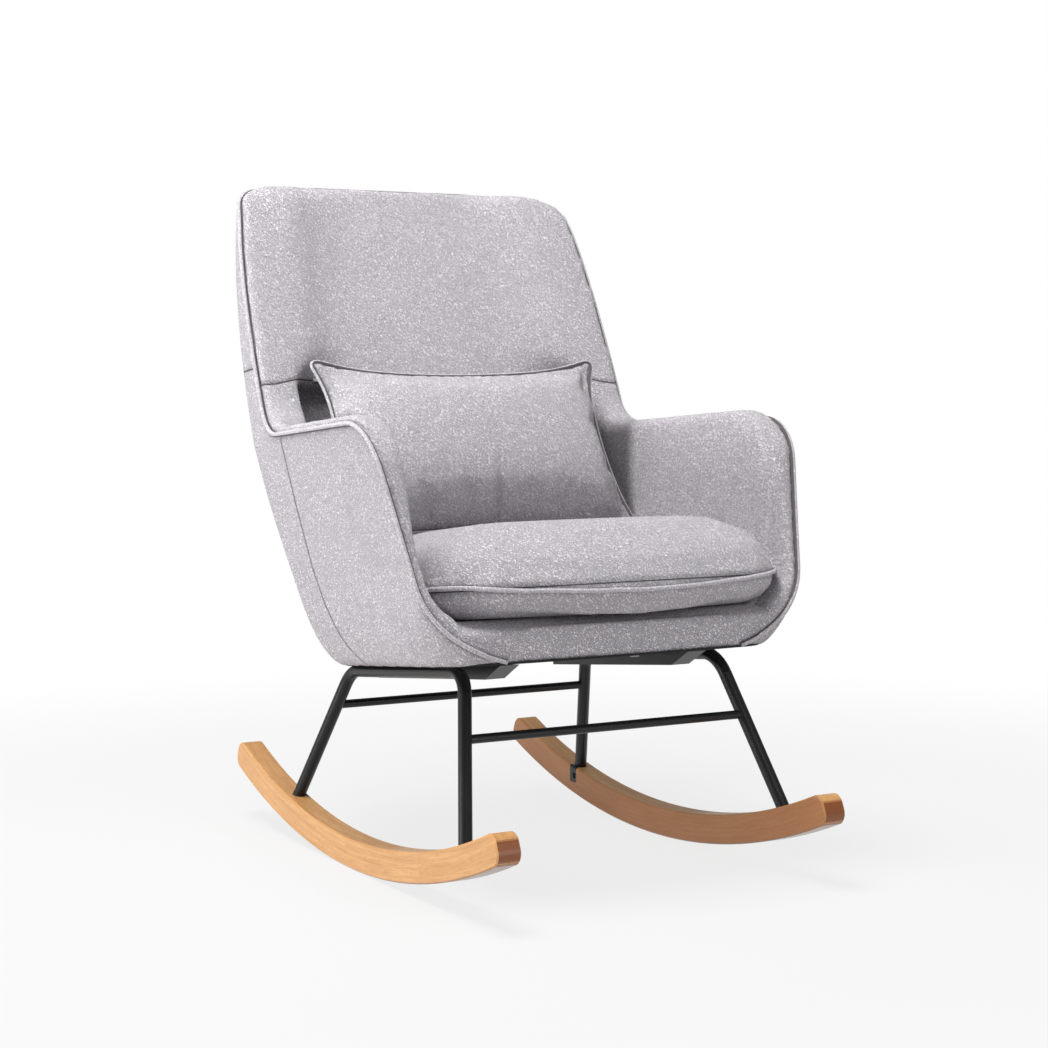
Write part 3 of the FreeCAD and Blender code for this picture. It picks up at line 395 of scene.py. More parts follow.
@dataclass(frozen=True)
class LoopedCloth:
    """Light grey cloth of small wool loops, with lilac and warm flecks, and painted shade in recesses,
    beside the piping and along seams.
    """

    name: str = "looped_cloth"
    pale: tuple[float, float, float] = (0.985, 0.94, 0.985)
    grey: tuple[float, float, float] = (0.40, 0.385, 0.42)
    warm: tuple[float, float, float] = (0.66, 0.59, 0.54)
    # Colour of the painted shade in recesses and creases, and of the seams' dark lines.
    shadow: tuple[float, float, float] = (0.035, 0.031, 0.033)
    loops: float = 330.0
    relief: float = 0.0022
    seams: Optional[Callable[[Shader], Quantity]] = None
    seam: Seam = Seam()

    def material(self) -> bpy.types.Material:
        """Build the cloth.

        Returns:
            The material.
        """
        shader = Shader(self.name, Roughness=0.95, Specular_IOR_Level=0.12, Sheen_Weight=0.12,
                        Sheen_Roughness=0.6)
        wander = shader.noise(210.0, 2.0)
        twist = shader.noise(250.0, 1.0)
        x, y, z = shader.axes()
        stray = (wander - 0.5) * 0.013
        curl = (twist - 0.5) * 0.013
        place = shader.joined(x + stray, y + curl, z - stray)
        loop, shade = shader.cells(self.loops, place)
        fuzz = shader.noise(1100.0, 2.0, 0.7)
        patch = shader.noise(9.0, 3.0, 0.55)
        gap = loop.ramp(0.32, 0.64)
        height = (1.0 - gap) * 0.9 + shade * 0.1 + fuzz * 0.25
        body = shader.blended(gap * 0.85, self.pale, self.grey)
        body = shader.blended(shade.ramp(0.45, 1.0) * 0.24, body, self.grey)
        body = shader.blended(shade.ramp(0.0, 0.12, 0.30, 0.0), body, self.warm)
        body = shader.blended(patch.ramp(0.4, 0.75) * 0.10, body, self.grey)
        body = shader.blended(fuzz.ramp(0.5, 0.72) * 0.22, body, self.grey)
        # Painted shade: darker where the piece's points carry painted shade (the recess behind the pillow,
        # the rear of the arms, beside the piping, the pillow's lower front).
        body = shader.blended(shader.painted("tuck_and_painted_shade"), body, self.shadow)
        if self.seams:
            away = self.seams(shader)
            line = away.ramp(self.seam.width * 0.4, self.seam.width, 1.0, 0.0)
            fold = away.ramp(0.0, self.seam.fold, 1.0, 0.0)
            # The seam's dark line, and painted shade in the fold beside it.
            body = shader.blended(line * 0.85, body, self.shadow)
            body = shader.blended(fold * 0.25, body, self.shadow)
            height = height - fold * 1.2 - line * 0.8
        shader.colour(body)
        shader.relief(height, self.relief)
        return shader.material


def cord_cloth(name: str) -> bpy.types.Material:
    """The looped cloth, finer where it is drawn round a cord."""
    return LoopedCloth(name=name, loops=520.0, relief=0.0008).material()


@dataclass(frozen=True)
class BentBeech:
    """Clear-lacquered bent beech with redder end grain, and painted shade in red-brown on undersides and
    inner faces.
    """

    name: str
    radius: float = 1197.0 * MM
    pale: tuple[float, float, float] = (0.69, 0.385, 0.155)
    deep: tuple[float, float, float] = (0.47, 0.205, 0.062)
    # Red-brown of the end grain, also used as painted shade on undersides and inner faces.
    red: tuple[float, float, float] = (0.225, 0.060, 0.013)

    def material(self) -> bpy.types.Material:
        """Build the wood, its grain running along the bend.

        Returns:
            The material.
        """
        shader = Shader(self.name, Specular_IOR_Level=0.4, Coat_Roughness=0.12, Coat_Weight=0.18)
        x, y, z = shader.axes()
        up = self.radius - z
        reach = (y * y + up * up).root()
        along = y.angle_to(up) * self.radius
        grain_place = shader.joined(x * 26.0, reach * 30.0, along * 1.3)
        figure = shader.noise(6.0, 5.0, 0.62, grain_place)
        fibre = shader.noise(1.0, 3.0, 0.7, shader.joined(x * 900.0, reach * 900.0, along * 25.0))
        fleck_place = shader.joined(x * 420.0, reach * 420.0, along * 70.0)
        fleck = shader.noise(1.0, 1.0, 0.5, fleck_place).ramp(0.62, 0.74)
        streak = figure.ramp(0.36, 0.68)
        rings = (figure * 42.0).sine().ramp(0.55, 1.0)
        wood = shader.blended(streak * 0.55, self.pale, self.deep)
        wood = shader.blended(rings * 0.45, wood, self.deep)
        wood = shader.blended(fibre.ramp(0.35, 0.7) * 0.35, wood, self.deep)
        wood = shader.blended(fleck * 0.5, wood, self.deep)
        facing = shader.add("ShaderNodeNewGeometry")
        normal_x, normal_y, normal_z = shader.axes(Quantity(shader, facing.outputs["True Normal"]))
        # Painted shade: faces turned down and faces turned toward the other rocker are darkened toward
        # red-brown; the front end grain is redder in its own colour.
        under = (normal_z * -1.0).ramp(0.55, 0.8)
        end = (normal_y * -1.0).ramp(0.72, 0.9) * (y * -1.0).ramp(0.40, 0.43)
        end_grain_and_under_shade = under.upper_of(end)
        inner = (x * normal_x * -1.0).ramp(0.10, 0.20)
        wood = shader.blended(inner * 0.66, wood, self.red)
        wood = shader.blended(end_grain_and_under_shade * 0.94, wood, self.red)
        shader.colour(wood)
        shader.roughness(0.40 - end_grain_and_under_shade * 0.20 + fibre * 0.08)
        shader.relief(fibre * 0.5 + fleck * 0.5, 0.00025)
        return shader.material


@dataclass(frozen=True)
class SawnTimber:
    """Plain timber or plywood hidden in the seat unit."""

    name: str
    pale: tuple[float, float, float] = (0.66, 0.52, 0.36)
    dark: tuple[float, float, float] = (0.50, 0.36, 0.23)
    stretch: tuple[float, float, float] = (4.0, 60.0, 60.0)

    def material(self) -> bpy.types.Material:
        """Build the timber.

        Returns:
            The material.
        """
        shader = Shader(self.name, Roughness=0.7)
        x, y, z = shader.axes()
        place = shader.joined(x * self.stretch[0], y * self.stretch[1], z * self.stretch[2])
        rings = shader.noise(1.0, 4.0, 0.6, place)
        shader.colour(shader.blended(rings.ramp(0.35, 0.65), self.pale, self.dark))
        shader.relief(rings, 0.0004)
        return shader.material


@dataclass(frozen=True)
class PowderCoat:
    """Satin black powder coat on steel."""

    name: str
    colour: tuple[float, float, float] = (0.0055, 0.0055, 0.006)
    worn: tuple[float, float, float] = (0.014, 0.014, 0.015)

    def material(self) -> bpy.types.Material:
        """Build the coat, with its fine orange peel.

        Returns:
            The material.
        """
        shader = Shader(self.name, Metallic=0.0, Specular_IOR_Level=0.32, Coat_Weight=0.05,
                        Coat_Roughness=0.2)
        peel = shader.noise(700.0, 2.0, 0.5)
        dust = shader.noise(35.0, 4.0, 0.6)
        shader.colour(shader.blended(dust.ramp(0.5, 0.8) * 0.5, self.colour, self.worn))
        shader.roughness(0.27 + dust * 0.1 + peel * 0.05)
        shader.relief(peel, 0.00012)
        return shader.material


@dataclass(frozen=True)
class BrightZinc:
    """Zinc-plated steel of bolts and inserts."""

    name: str
    colour: tuple[float, float, float] = (0.60, 0.60, 0.58)
    dull: tuple[float, float, float] = (0.42, 0.42, 0.42)

    def material(self) -> bpy.types.Material:
        """Build the plating.

        Returns:
            The material.
        """
        shader = Shader(self.name, Metallic=1.0)
        bloom = shader.noise(160.0, 3.0, 0.6)
        shader.colour(shader.blended(bloom.ramp(0.4, 0.7), self.colour, self.dull))
        shader.roughness(0.28 + bloom * 0.2)
        shader.relief(bloom, 0.00008)
        return shader.material


@dataclass(frozen=True)
class WovenTape:
    """Plain woven tape, strap or dust cloth."""

    name: str
    light: tuple[float, float, float]
    dark: tuple[float, float, float]
    threads: float = 500.0

    def material(self) -> bpy.types.Material:
        """Build the weave.

        Returns:
            The material.
        """
        shader = Shader(self.name, Roughness=0.9, Specular_IOR_Level=0.2)
        x, y, z = shader.axes()
        frequency = self.threads * 2.0 * math.pi
        warp = (x * frequency).sine()
        weft = ((y + z) * frequency).sine()
        weave = warp * weft * 0.5 + 0.5
        shader.colour(shader.blended(weave, self.dark, self.light))
        shader.relief(weave, 0.0003)
        return shader.material


@dataclass(frozen=True)
class StudioFloor:
    """Pale floor that keeps its shadows near the chair and fades into a white surround."""

    name: str = "studio_floor"
    near: float = 0.8
    far: float = 2.2
    glow: float = 0.80

    def material(self) -> bpy.types.Material:
        """Build the floor.

        Returns:
            The material.
        """
        shader = Shader(self.name, Base_Color=(0.52, 0.52, 0.52, 1.0), Specular_IOR_Level=0.0)
        grain = shader.noise(3.0, 2.0)
        shader.roughness(0.95 + grain * 0.05)
        x, y, _ = shader.axes()
        distance = (x * x + y * y).root()
        rays = shader.add("ShaderNodeLightPath")
        seen = Quantity(shader, rays.outputs["Is Camera Ray"])
        mirrored = Quantity(shader, rays.outputs["Is Glossy Ray"])
        away = distance.ramp(self.near, self.far, self.glow, 1.0)
        white = shader.add("ShaderNodeEmission")
        white.inputs["Color"].default_value = (1.0, 1.0, 1.0, 1.0)
        mix = shader.add("ShaderNodeMixShader")
        output = next(n for n in shader.tree.nodes if n.type == "OUTPUT_MATERIAL")
        shader.feed(mix.inputs[0], away * seen.upper_of(mirrored))
        shader.tree.links.new(shader.surface.outputs[0], mix.inputs[1])
        shader.tree.links.new(white.outputs[0], mix.inputs[2])
        shader.tree.links.new(mix.outputs[0], output.inputs["Surface"])
        return shader.material


# Mesh work shared by the upholstered pieces


def detail(full: float, quick: float) -> float:
    """The first number; the second, meant for a quick build, is not used."""
    return full


def flowing(levels: Sequence[float], values: Sequence[float], at: float) -> float:
    """Value of a table along a curve that passes its entries without overshoot.

    Args:
        levels: Where the entries lie.
        values: The entries.
        at: Where the value is wanted.

    Returns:
        The value.
    """
    x, y = np.asarray(levels), np.asarray(values)
    at = min(max(at, x[0]), x[-1])
    rises = np.diff(y) / np.diff(x)
    slopes = np.concatenate([rises[:1], np.zeros(len(y) - 2), rises[-1:]])
    for index in range(1, len(y) - 1):
        before, after = rises[index - 1], rises[index]
        if before * after > 0.0:
            slopes[index] = 2.0 * before * after / (before + after)
    place = min(int(np.searchsorted(x, at, side="right")) - 1, len(x) - 2)
    width = x[place + 1] - x[place]
    share = (at - x[place]) / width
    square, cube = share * share, share ** 3
    ends = (2 * cube - 3 * square + 1) * y[place] + (3 * square - 2 * cube) * y[place + 1]
    rises_in = (cube - 2 * square + share) * width * slopes[place]
    return float(ends + rises_in + (cube - square) * width * slopes[place + 1])


def away_from(line: Sequence[Vector], places: np.ndarray) -> np.ndarray:
    """Distance of each place from the stations of a line.

    Args:
        line: The stations.
        places: Rows of metres.

    Returns:
        Metres.
    """
    tree = KDTree(len(line))
    for index, station in enumerate(line):
        tree.insert(station, index)
    tree.balance()
    return np.array([tree.find(place)[2] for place in places])


def outward_at(line: Sequence[Vector], pieces: Sequence[bpy.types.Object], reach: float,
               closed: bool) -> list[Vector]:
    """Mean outward direction of the cloth round each station of a line.

    Args:
        line: The stations.
        pieces: The skins beside it.
        reach: How far round a station the skins count, in metres.
        closed: Whether the line comes back to its start.

    Returns:
        One direction a station.
    """
    places = np.concatenate([places_of(piece) for piece in pieces])
    normals = np.concatenate([normals_of(piece) for piece in pieces])
    tree = KDTree(len(places))
    for index, place in enumerate(places):
        tree.insert(place, index)
    tree.balance()
    found = []
    for station in line:
        near = [index for _, index, _ in tree.find_range(station, reach)] or [tree.find(station)[1]]
        found.append(Vector(normals[near].mean(axis=0)).normalized())
    return [direction.normalized() for direction in relaxed(found, 6, closed)]


def smooth_step(values: np.ndarray, low: float, high: float) -> np.ndarray:
    """Eased change from 0 at low to 1 at high."""
    share = np.clip((values - low) / (high - low), 0.0, 1.0)
    return share * share * (3.0 - 2.0 * share)


def painted(piece: bpy.types.Object, name: str, values: np.ndarray) -> None:
    """Store a value at each of a piece's points for its material.

    Args:
        piece: The piece.
        name: The value's name.
        values: One number a point.
    """
    layer = piece.data.attributes.new(name, "FLOAT", "POINT")
    layer.data.foreach_set("value", values.astype(np.float32))


def finished(piece: bpy.types.Object) -> bpy.types.Object:
    """Turn live modifiers into the piece's own mesh.

    Args:
        piece: The object.

    Returns:
        The same object.
    """
    graph = bpy.context.evaluated_depsgraph_get()
    mesh = bpy.data.meshes.new_from_object(piece.evaluated_get(graph), depsgraph=graph)
    mesh.name = piece.name
    piece.modifiers.clear()
    piece.data = mesh
    return piece


def made(name: str, mesh: bmesh.types.BMesh) -> bpy.types.Object:
    """Object from a finished bmesh.

    Args:
        name: The piece's name.
        mesh: Its geometry, which is freed.

    Returns:
        The object, linked to the scene.
    """
    data = bpy.data.meshes.new(name)
    bmesh.ops.recalc_face_normals(mesh, faces=mesh.faces)
    mesh.to_mesh(data)
    mesh.free()
    piece = bpy.data.objects.new(name, data)
    bpy.context.scene.collection.objects.link(piece)
    return piece


def lofted(name: str, rings: Sequence[Sequence[Vector]]) -> bpy.types.Object:
    """Closed solid through rings of equal count.

    Args:
        name: The solid's name.
        rings: The sections in order.

    Returns:
        The solid.
    """
    mesh = bmesh.new()
    ring = bmesh.ops.create_circle(mesh, cap_ends=False, segments=len(rings[0]), radius=1.0)["verts"]
    edges = list(mesh.edges)
    first_edges = edges
    for vertex, place in zip(ring, rings[0]):
        vertex.co = place
    for places in rings[1:]:
        grown = bmesh.ops.extrude_edge_only(mesh, edges=edges)["geom"]
        fresh = {item for item in grown if isinstance(item, bmesh.types.BMVert)}
        edges = [item for item in grown if isinstance(item, bmesh.types.BMEdge)]
        following = []
        for vertex, place in zip(ring, places):
            partner = next(e.other_vert(vertex) for e in vertex.link_edges if e.other_vert(vertex) in fresh)
            partner.co = place
            following.append(partner)
        ring = following
    bmesh.ops.contextual_create(mesh, geom=first_edges)
    bmesh.ops.contextual_create(mesh, geom=edges)
    return made(name, mesh)


def shaped(piece: bpy.types.Object, tool: bpy.types.Object, how: Cut) -> None:
    """Shape a solid with another, which is used up.

    Args:
        piece: The solid that changes.
        tool: The solid that shapes it.
        how: Whether the tool's volume is removed or kept.
    """
    modifier = piece.modifiers.new("shape", "BOOLEAN")
    modifier.operation = how.value
    modifier.solver = "EXACT"
    modifier.object = tool
    finished(piece)
    bpy.data.objects.remove(tool)


def remeshed(piece: bpy.types.Object, voxel: float) -> None:
    """Give a solid an even skin of small faces.

    Args:
        piece: The solid.
        voxel: Side of a face, in metres.
    """
    modifier = piece.modifiers.new("skin", "REMESH")
    modifier.mode = "VOXEL"
    modifier.voxel_size = voxel
    modifier.use_smooth_shade = True
    finished(piece)


def softened(piece: bpy.types.Object, passes: int, weights: Optional[np.ndarray] = None) -> None:
    """Round a skin's edges.

    Args:
        piece: The skin.
        passes: How often each point moves towards its neighbours.
        weights: Share of the rounding at each point, or all of it.
    """
    modifier = piece.modifiers.new("soft", "SMOOTH")
    modifier.factor = 0.5
    modifier.iterations = passes
    if weights is not None:
        group = piece.vertex_groups.new(name="soft")
        for index in np.nonzero(weights > 0.001)[0]:
            group.add([int(index)], float(weights[index]), "REPLACE")
        modifier.vertex_group = "soft"
    finished(piece)
    piece.vertex_groups.clear()
    shade_smooth(piece)


def shade_smooth(piece: bpy.types.Object) -> None:
    """Shade every face of a piece smoothly."""
    flags = np.ones(len(piece.data.polygons), dtype=bool)
    piece.data.polygons.foreach_set("use_smooth", flags)
    piece.data.update()


def places_of(piece: bpy.types.Object) -> np.ndarray:
    """The places of a piece's points, in metres."""
    flat = np.empty(len(piece.data.vertices) * 3, dtype=np.float64)
    piece.data.vertices.foreach_get("co", flat)
    return flat.reshape(-1, 3)


def put_places(piece: bpy.types.Object, places: np.ndarray) -> None:
    """Write back the places of a piece's points.

    Args:
        piece: The piece.
        places: Rows of metres.
    """
    piece.data.vertices.foreach_set("co", places.ravel())
    piece.data.update()


def normals_of(piece: bpy.types.Object) -> np.ndarray:
    """Outward directions at a piece's points."""
    flat = np.empty(len(piece.data.vertices) * 3, dtype=np.float64)
    piece.data.vertices.foreach_get("normal", flat)
    return flat.reshape(-1, 3)


def inflated(piece: bpy.types.Object, pinned: np.ndarray, pressure: float, frames: int, cap: float,
             slack: float = 0.0) -> None:
    """Fill a cloth skin from within, and keep the folded shape.

    Args:
        piece: The skin, an even mesh.
        pinned: Points that stay where they are sewn.
        pressure: Push of the filling.
        frames: Steps of the simulation.
        cap: Furthest that a point may move, in metres.
        slack: Share by which the cloth is larger than its mesh.
    """
    before = places_of(piece)
    group = piece.vertex_groups.new(name="sewn")
    group.add([int(index) for index in np.nonzero(pinned)[0]], 1.0, "REPLACE")
    modifier = piece.modifiers.new("cloth", "CLOTH")
    cloth = modifier.settings
    cloth.quality = 5
    cloth.mass = 0.3
    cloth.tension_stiffness = 25.0
    cloth.compression_stiffness = 15.0
    cloth.shear_stiffness = 8.0
    cloth.bending_stiffness = 0.35
    cloth.shrink_min = -slack
    cloth.vertex_group_mass = "sewn"
    cloth.use_pressure = True
    cloth.uniform_pressure_force = pressure
    cloth.effector_weights.gravity = 0.0
    modifier.collision_settings.use_collision = False
    modifier.collision_settings.use_self_collision = False
    modifier.point_cache.frame_end = frames
    for step in range(1, frames + 1):
        bpy.context.scene.frame_set(step)
    finished(piece)
    bpy.context.scene.frame_set(1)
    piece.vertex_groups.clear()
    after = places_of(piece)
    move = after - before
    reach = np.linalg.norm(move, axis=1, keepdims=True)
    put_places(piece, before + move * np.minimum(1.0, cap / np.maximum(reach, 1e-9)))
    shade_smooth(piece)


def skin_copy(node: str, name: str) -> bpy.types.Object:
    """Closed copy of a frame solid, its loose triangles joined.

    Args:
        node: The solid's name.
        name: The copy's name.

    Returns:
        The copy.
    """
    mesh = bmesh.new()
    mesh.from_mesh(frame["nodes"][node].data)
    bmesh.ops.remove_doubles(mesh, verts=mesh.verts, dist=1e-5)
    return made(name, mesh)


def evened(path: Sequence[Vector], step: float, closed: bool) -> list[Vector]:
    """The same line with stations at even distances.

    Args:
        path: Its corners.
        step: Distance between stations.
        closed: Whether the line comes back to its start.

    Returns:
        The stations.
    """
    corners = np.array([tuple(p) for p in (list(path) + [path[0]] if closed else path)])
    lengths = np.concatenate([[0.0], np.cumsum(np.linalg.norm(np.diff(corners, axis=0), axis=1))])
    count = max(int(lengths[-1] / step), 4)
    stops = np.linspace(0.0, lengths[-1], count + 1)
    if closed:
        stops = stops[:-1]
    columns = [np.interp(stops, lengths, corners[:, axis]) for axis in range(3)]
    return [Vector(row) for row in np.stack(columns, axis=1)]


def relaxed(path: Sequence[Vector], passes: int, closed: bool) -> list[Vector]:
    """A line with its small corners eased.

    Args:
        path: The stations.
        passes: How often each is eased.
        closed: Whether the line comes back to its start.

    Returns:
        The eased stations.
    """
    rows = np.array([tuple(p) for p in path])
    for _ in range(passes):
        before = np.roll(rows, 1, axis=0)
        after = np.roll(rows, -1, axis=0)
        if not closed:
            before[0], after[0] = rows[0], rows[0]
            before[-1], after[-1] = rows[-1], rows[-1]
        rows = rows * 0.5 + (before + after) * 0.25
    return [Vector(row) for row in rows]


def changed(path: Sequence[Vector], change: Callable[[np.ndarray], np.ndarray]) -> list[Vector]:
    """A line after a change that was written for rows of places.

    Args:
        path: The stations.
        change: The change.

    Returns:
        The changed stations.
    """
    return [Vector(row) for row in change(np.array([tuple(place) for place in path]))]


def settled(path: Sequence[Vector], skin: bpy.types.Object, proud: float) -> list[Vector]:
    """Lay a line on a skin.

    Args:
        path: The stations near the skin.
        skin: The piece it lies on.
        proud: How far its middle stands off, in metres.

    Returns:
        The stations on the skin.
    """
    graph = bpy.context.evaluated_depsgraph_get()
    tree = BVHTree.FromObject(skin, graph)
    laid = []
    for place in path:
        spot, normal, _, _ = tree.find_nearest(place)
        laid.append(spot + normal * proud)
    return laid


def corded(name: str, path: Sequence[Vector], radius: float, closed: bool) -> bpy.types.Object:
    """Round cord along a line, as a mesh.

    Args:
        name: The cord's name.
        path: Its stations.
        radius: Its radius, in metres.
        closed: Whether it comes back to its start.

    Returns:
        The cord.
    """
    curve = bpy.data.curves.new(name, "CURVE")
    curve.dimensions = "3D"
    spline = curve.splines.new("POLY")
    spline.points.add(len(path) - 1)
    for point, place in zip(spline.points, path):
        point.co = (*place, 1.0)
    spline.use_cyclic_u = closed
    curve.bevel_depth = radius
    curve.bevel_resolution = 3
    curve.use_fill_caps = True
    holder = bpy.data.objects.new(name + "_line", curve)
    bpy.context.scene.collection.objects.link(holder)
    graph = bpy.context.evaluated_depsgraph_get()
    data = bpy.data.meshes.new_from_object(holder.evaluated_get(graph), depsgraph=graph)
    bpy.data.objects.remove(holder)
    mesh = bmesh.new()
    mesh.from_mesh(data)
    bpy.data.meshes.remove(data)
    bmesh.ops.remove_doubles(mesh, verts=mesh.verts, dist=1e-6)
    cord = made(name, mesh)
    shade_smooth(cord)
    return cord


def piped(name: str, line: Sequence[Vector], outward: Sequence[Vector], radius: float, closed: bool,
          cloth: bpy.types.Material, body: Body, replaces: Iterable[str] = (), seam: float = 1.13) -> None:
    """Cloth-covered cord, and a dark strip sunk under it that paints the shadow of the seam it lies in.

    Args:
        name: The cord's name.
        line: Its stations.
        outward: Direction away from the cloth at each station.
        radius: Its radius, in metres.
        closed: Whether it comes back to its start.
        cloth: The cord's material.
        body: The part of the chair it moves with.
        replaces: The nodes that the cord stands for.
        seam: Radius of the dark strip of painted seam shadow, as a share of the cord's.
    """
    dressed(corded(name, line, radius, closed), cloth, body, replaces)
    # Painted shadow: a dark strip under the cord shows as thin dark lines on both sides of it.
    seam_shadow = WovenTape(name + "_thread", (0.19, 0.175, 0.185), (0.09, 0.08, 0.085), 900.0).material()
    sunk = [place - direction * (radius * (seam - 0.75)) for place, direction in zip(line, outward)]
    dressed(corded(name + "_seam", sunk, radius * seam, closed), seam_shadow, body)


def dressed(piece: bpy.types.Object, material: bpy.types.Material, body: Body,
            replaces: Iterable[str] = ()) -> bpy.types.Object:
    """Give a finished piece its material, its body and the nodes it stands for.

    Args:
        piece: The piece.
        material: Its finish.
        body: The part of the chair it moves with.
        replaces: The nodes it stands for.

    Returns:
        The piece.
    """
    piece.data.materials.clear()
    piece.data.materials.append(material)
    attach(piece, body.value)
    nodes = list(replaces)
    if nodes:
        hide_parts(*nodes)
    log.info("%s: %d points on %s", piece.name, len(piece.data.vertices), body.value)
    return piece


# The upholstered tub


@dataclass(frozen=True)
class Recess:
    """The inner back below its seam, in millimetres, and how much light is lost there, from 0 to 1."""

    half_width: float = 252.0
    depth: float = 21.0
    edge: float = 13.0
    shade: float = 0.58
    arm_shade: float = 0.78
    arm_start: tuple[float, float] = (44.0, 78.0)
    arm_top: tuple[float, float] = (332.0, 375.0)
    arm_half_width: float = 200.0
    back_start: tuple[float, float] = (96.0, 132.0)
    foot: tuple[float, float] = (70.0, 110.0)


@dataclass(frozen=True)
class Layers:
    """How the outer cover and the pads lie to each other along the piping, in millimetres."""

    cover_edge: float = 0.5
    cover_drop: float = 14.0
    cover_gap: float = 9.0
    cover_proud: float = 1.2
    pad_inset: float = 3.0
    pad_edge: float = 13.0
    pad_top: float = 2.5


@dataclass(frozen=True)
class TubSizes:
    """Millimetres of the tub in the level frame of the seat unit."""

    height: float = 756.0
    half_width: float = 350.0
    depth: float = 350.0
    front: float = -326.0
    bow: float = 20.0
    rear_corner: float = 70.0
    levels: tuple[float, ...] = (
        0.0, 0.012, 0.028, 0.053, 0.1, 0.165, 0.24, 0.32, 0.4, 0.458, 0.567, 0.709, 0.83, 0.93,
        1.03,
    )
    rear_widths: tuple[float, ...] = (
        0.669, 0.694, 0.714, 0.734, 0.760, 0.786, 0.814, 0.843, 0.866, 0.879, 0.880, 0.873, 0.857,
        0.831, 0.800,
    )
    front_widths: tuple[float, ...] = (
        0.737, 0.766, 0.791, 0.820, 0.849, 0.874, 0.903, 0.934, 0.968, 0.991, 1.006, 1.006, 1.006,
        1.006, 1.006,
    )
    rear_depths: tuple[float, ...] = (
        0.457, 0.483, 0.511, 0.543, 0.586, 0.631, 0.680, 0.727, 0.771, 0.800, 0.857, 0.917, 0.957,
        0.980, 0.997,
    )
    front_corners: tuple[float, ...] = (
        1.114, 1.014, 0.886, 0.686, 0.429, 0.229, 0.2, 0.2, 0.2, 0.2, 0.2, 0.2, 0.2, 0.2, 0.2,
    )
    wall: float = 45.0
    beyond: float = 60.0
    above: float = 80.0
    mouth: float = 90.0
    foot_height: float = 66.0
    foot_step: float = 6.0
    wall_step: float = 15.0
    front_walls: tuple[float, ...] = (
        0.50, 0.50, 0.50, 0.50, 0.50, 0.50, 0.60, 0.78, 0.91, 1.0, 1.0, 1.0, 1.0, 1.0, 1.0,
    )
    rear_walls: tuple[float, ...] = (
        0.55, 0.55, 0.55, 0.55, 0.55, 0.56, 0.72, 0.90, 1.06, 1.12, 1.03, 0.98, 0.95, 0.93, 0.9,
    )
    inner_back: float = 207.0
    inner_back_height: float = 427.0
    inner_back_slope: float = 0.329
    corner_levels: tuple[float, ...] = (0.0, 425.0, 480.0, 790.0)
    inner_corners: tuple[float, ...] = (62.0, 62.0, 135.0, 150.0)
    fillet_levels: tuple[float, ...] = (58.5, 72.0, 88.0, 112.0, 790.0)
    fillet_insets: tuple[float, ...] = (30.0, 14.0, 5.0, 0.0, 0.0)
    deck: float = 58.5
    arm_front: tuple[tuple[float, float], ...] = (
        (-327.0, -60.0), (-327.0, 0.0), (-314.0, 72.0), (-261.0, 329.5), (158.0, 346.0),
        (292.5, 756.0),
    )
    arm_rounds: tuple[float, ...] = (0.0, 0.0, 88.0, 88.0, 58.0, 0.0)
    foot_round: float = 60.0
    shoulder_round: float = 74.0
    shoulder_height: float = 664.0
    shoulder_half_width: float = 302.0
    corner_half_width: float = 288.0
    dip: float = 3.0
    rail_fall: float = 12.0
    shoulder_fall: float = 5.0
    shoulder_lean: float = 3.0
    recess: Recess = Recess()
    layers: Layers = Layers()
    back_seam: float = 434.0
    rear_seam: float = 452.0
    rail_seam: float = 246.0
    cord: float = 3.3
    roll: float = 2.8
    side_seam: tuple[tuple[float, float], ...] = (
        (-0.031, 0.0), (0.023, 0.028), (0.100, 0.070), (0.205, 0.178), (0.232, 0.275),
        (0.272, 0.443),
    )

    def shares(self, table: Sequence[float], z: float) -> float:
        """A table's value at a height."""
        return flowing(self.levels, table, z / self.height)

    def heights(self, low: float) -> list[float]:
        """Heights of the sections from a lowest one, closer together at the rounded foot."""
        top = self.levels[-1] * self.height
        foot = list(np.arange(low, self.foot_height, self.foot_step))
        start = foot[-1] if foot else low
        count = int((top - start) / self.wall_step)
        return foot[:-1] + [float(z) for z in np.linspace(start, top, count)]


def arc_points(centre: tuple[float, float], radius: float, start: float, end: float,
               count: int) -> list[tuple[float, float]]:
    """Points along an arc in a plane.

    Args:
        centre: Its centre.
        radius: Its radius.
        start: First angle, in degrees.
        end: Last angle, in degrees.
        count: Number of points.

    Returns:
        The points.
    """
    angles = np.radians(np.linspace(start, end, count))
    return [(centre[0] + radius * math.cos(a), centre[1] + radius * math.sin(a)) for a in angles]


def bowed_plan(front: tuple[float, float, float], rear: tuple[float, float, float], bow: float,
               count: int, stretches: int) -> list[tuple[float, float]]:
    """Outline seen from above, with four round corners and a bowed front.

    Args:
        front: Half width, depth and corner radius at the front.
        rear: Half width, depth and corner radius at the rear.
        bow: How far the middle of the front stands out.
        count: Points on each corner.
        stretches: Stretches along the bow.

    Returns:
        The outline's points.
    """
    (front_x, front_y, ahead), (rear_x, rear_y, behind) = front, rear
    points = arc_points((rear_x - behind, rear_y - behind), behind, 0.0, 90.0, count)
    points += arc_points((behind - rear_x, rear_y - behind), behind, 90.0, 180.0, count)
    points += arc_points((ahead - front_x, front_y + ahead), ahead, 180.0, 270.0, count)
    chord = front_x - ahead
    for step in range(1, stretches):
        x = -chord + 2.0 * chord * step / stretches
        points.append((x, front_y - bow * (1.0 - (x / chord) ** 2)))
    return points + arc_points((front_x - ahead, front_y + ahead), ahead, 270.0, 360.0, count)


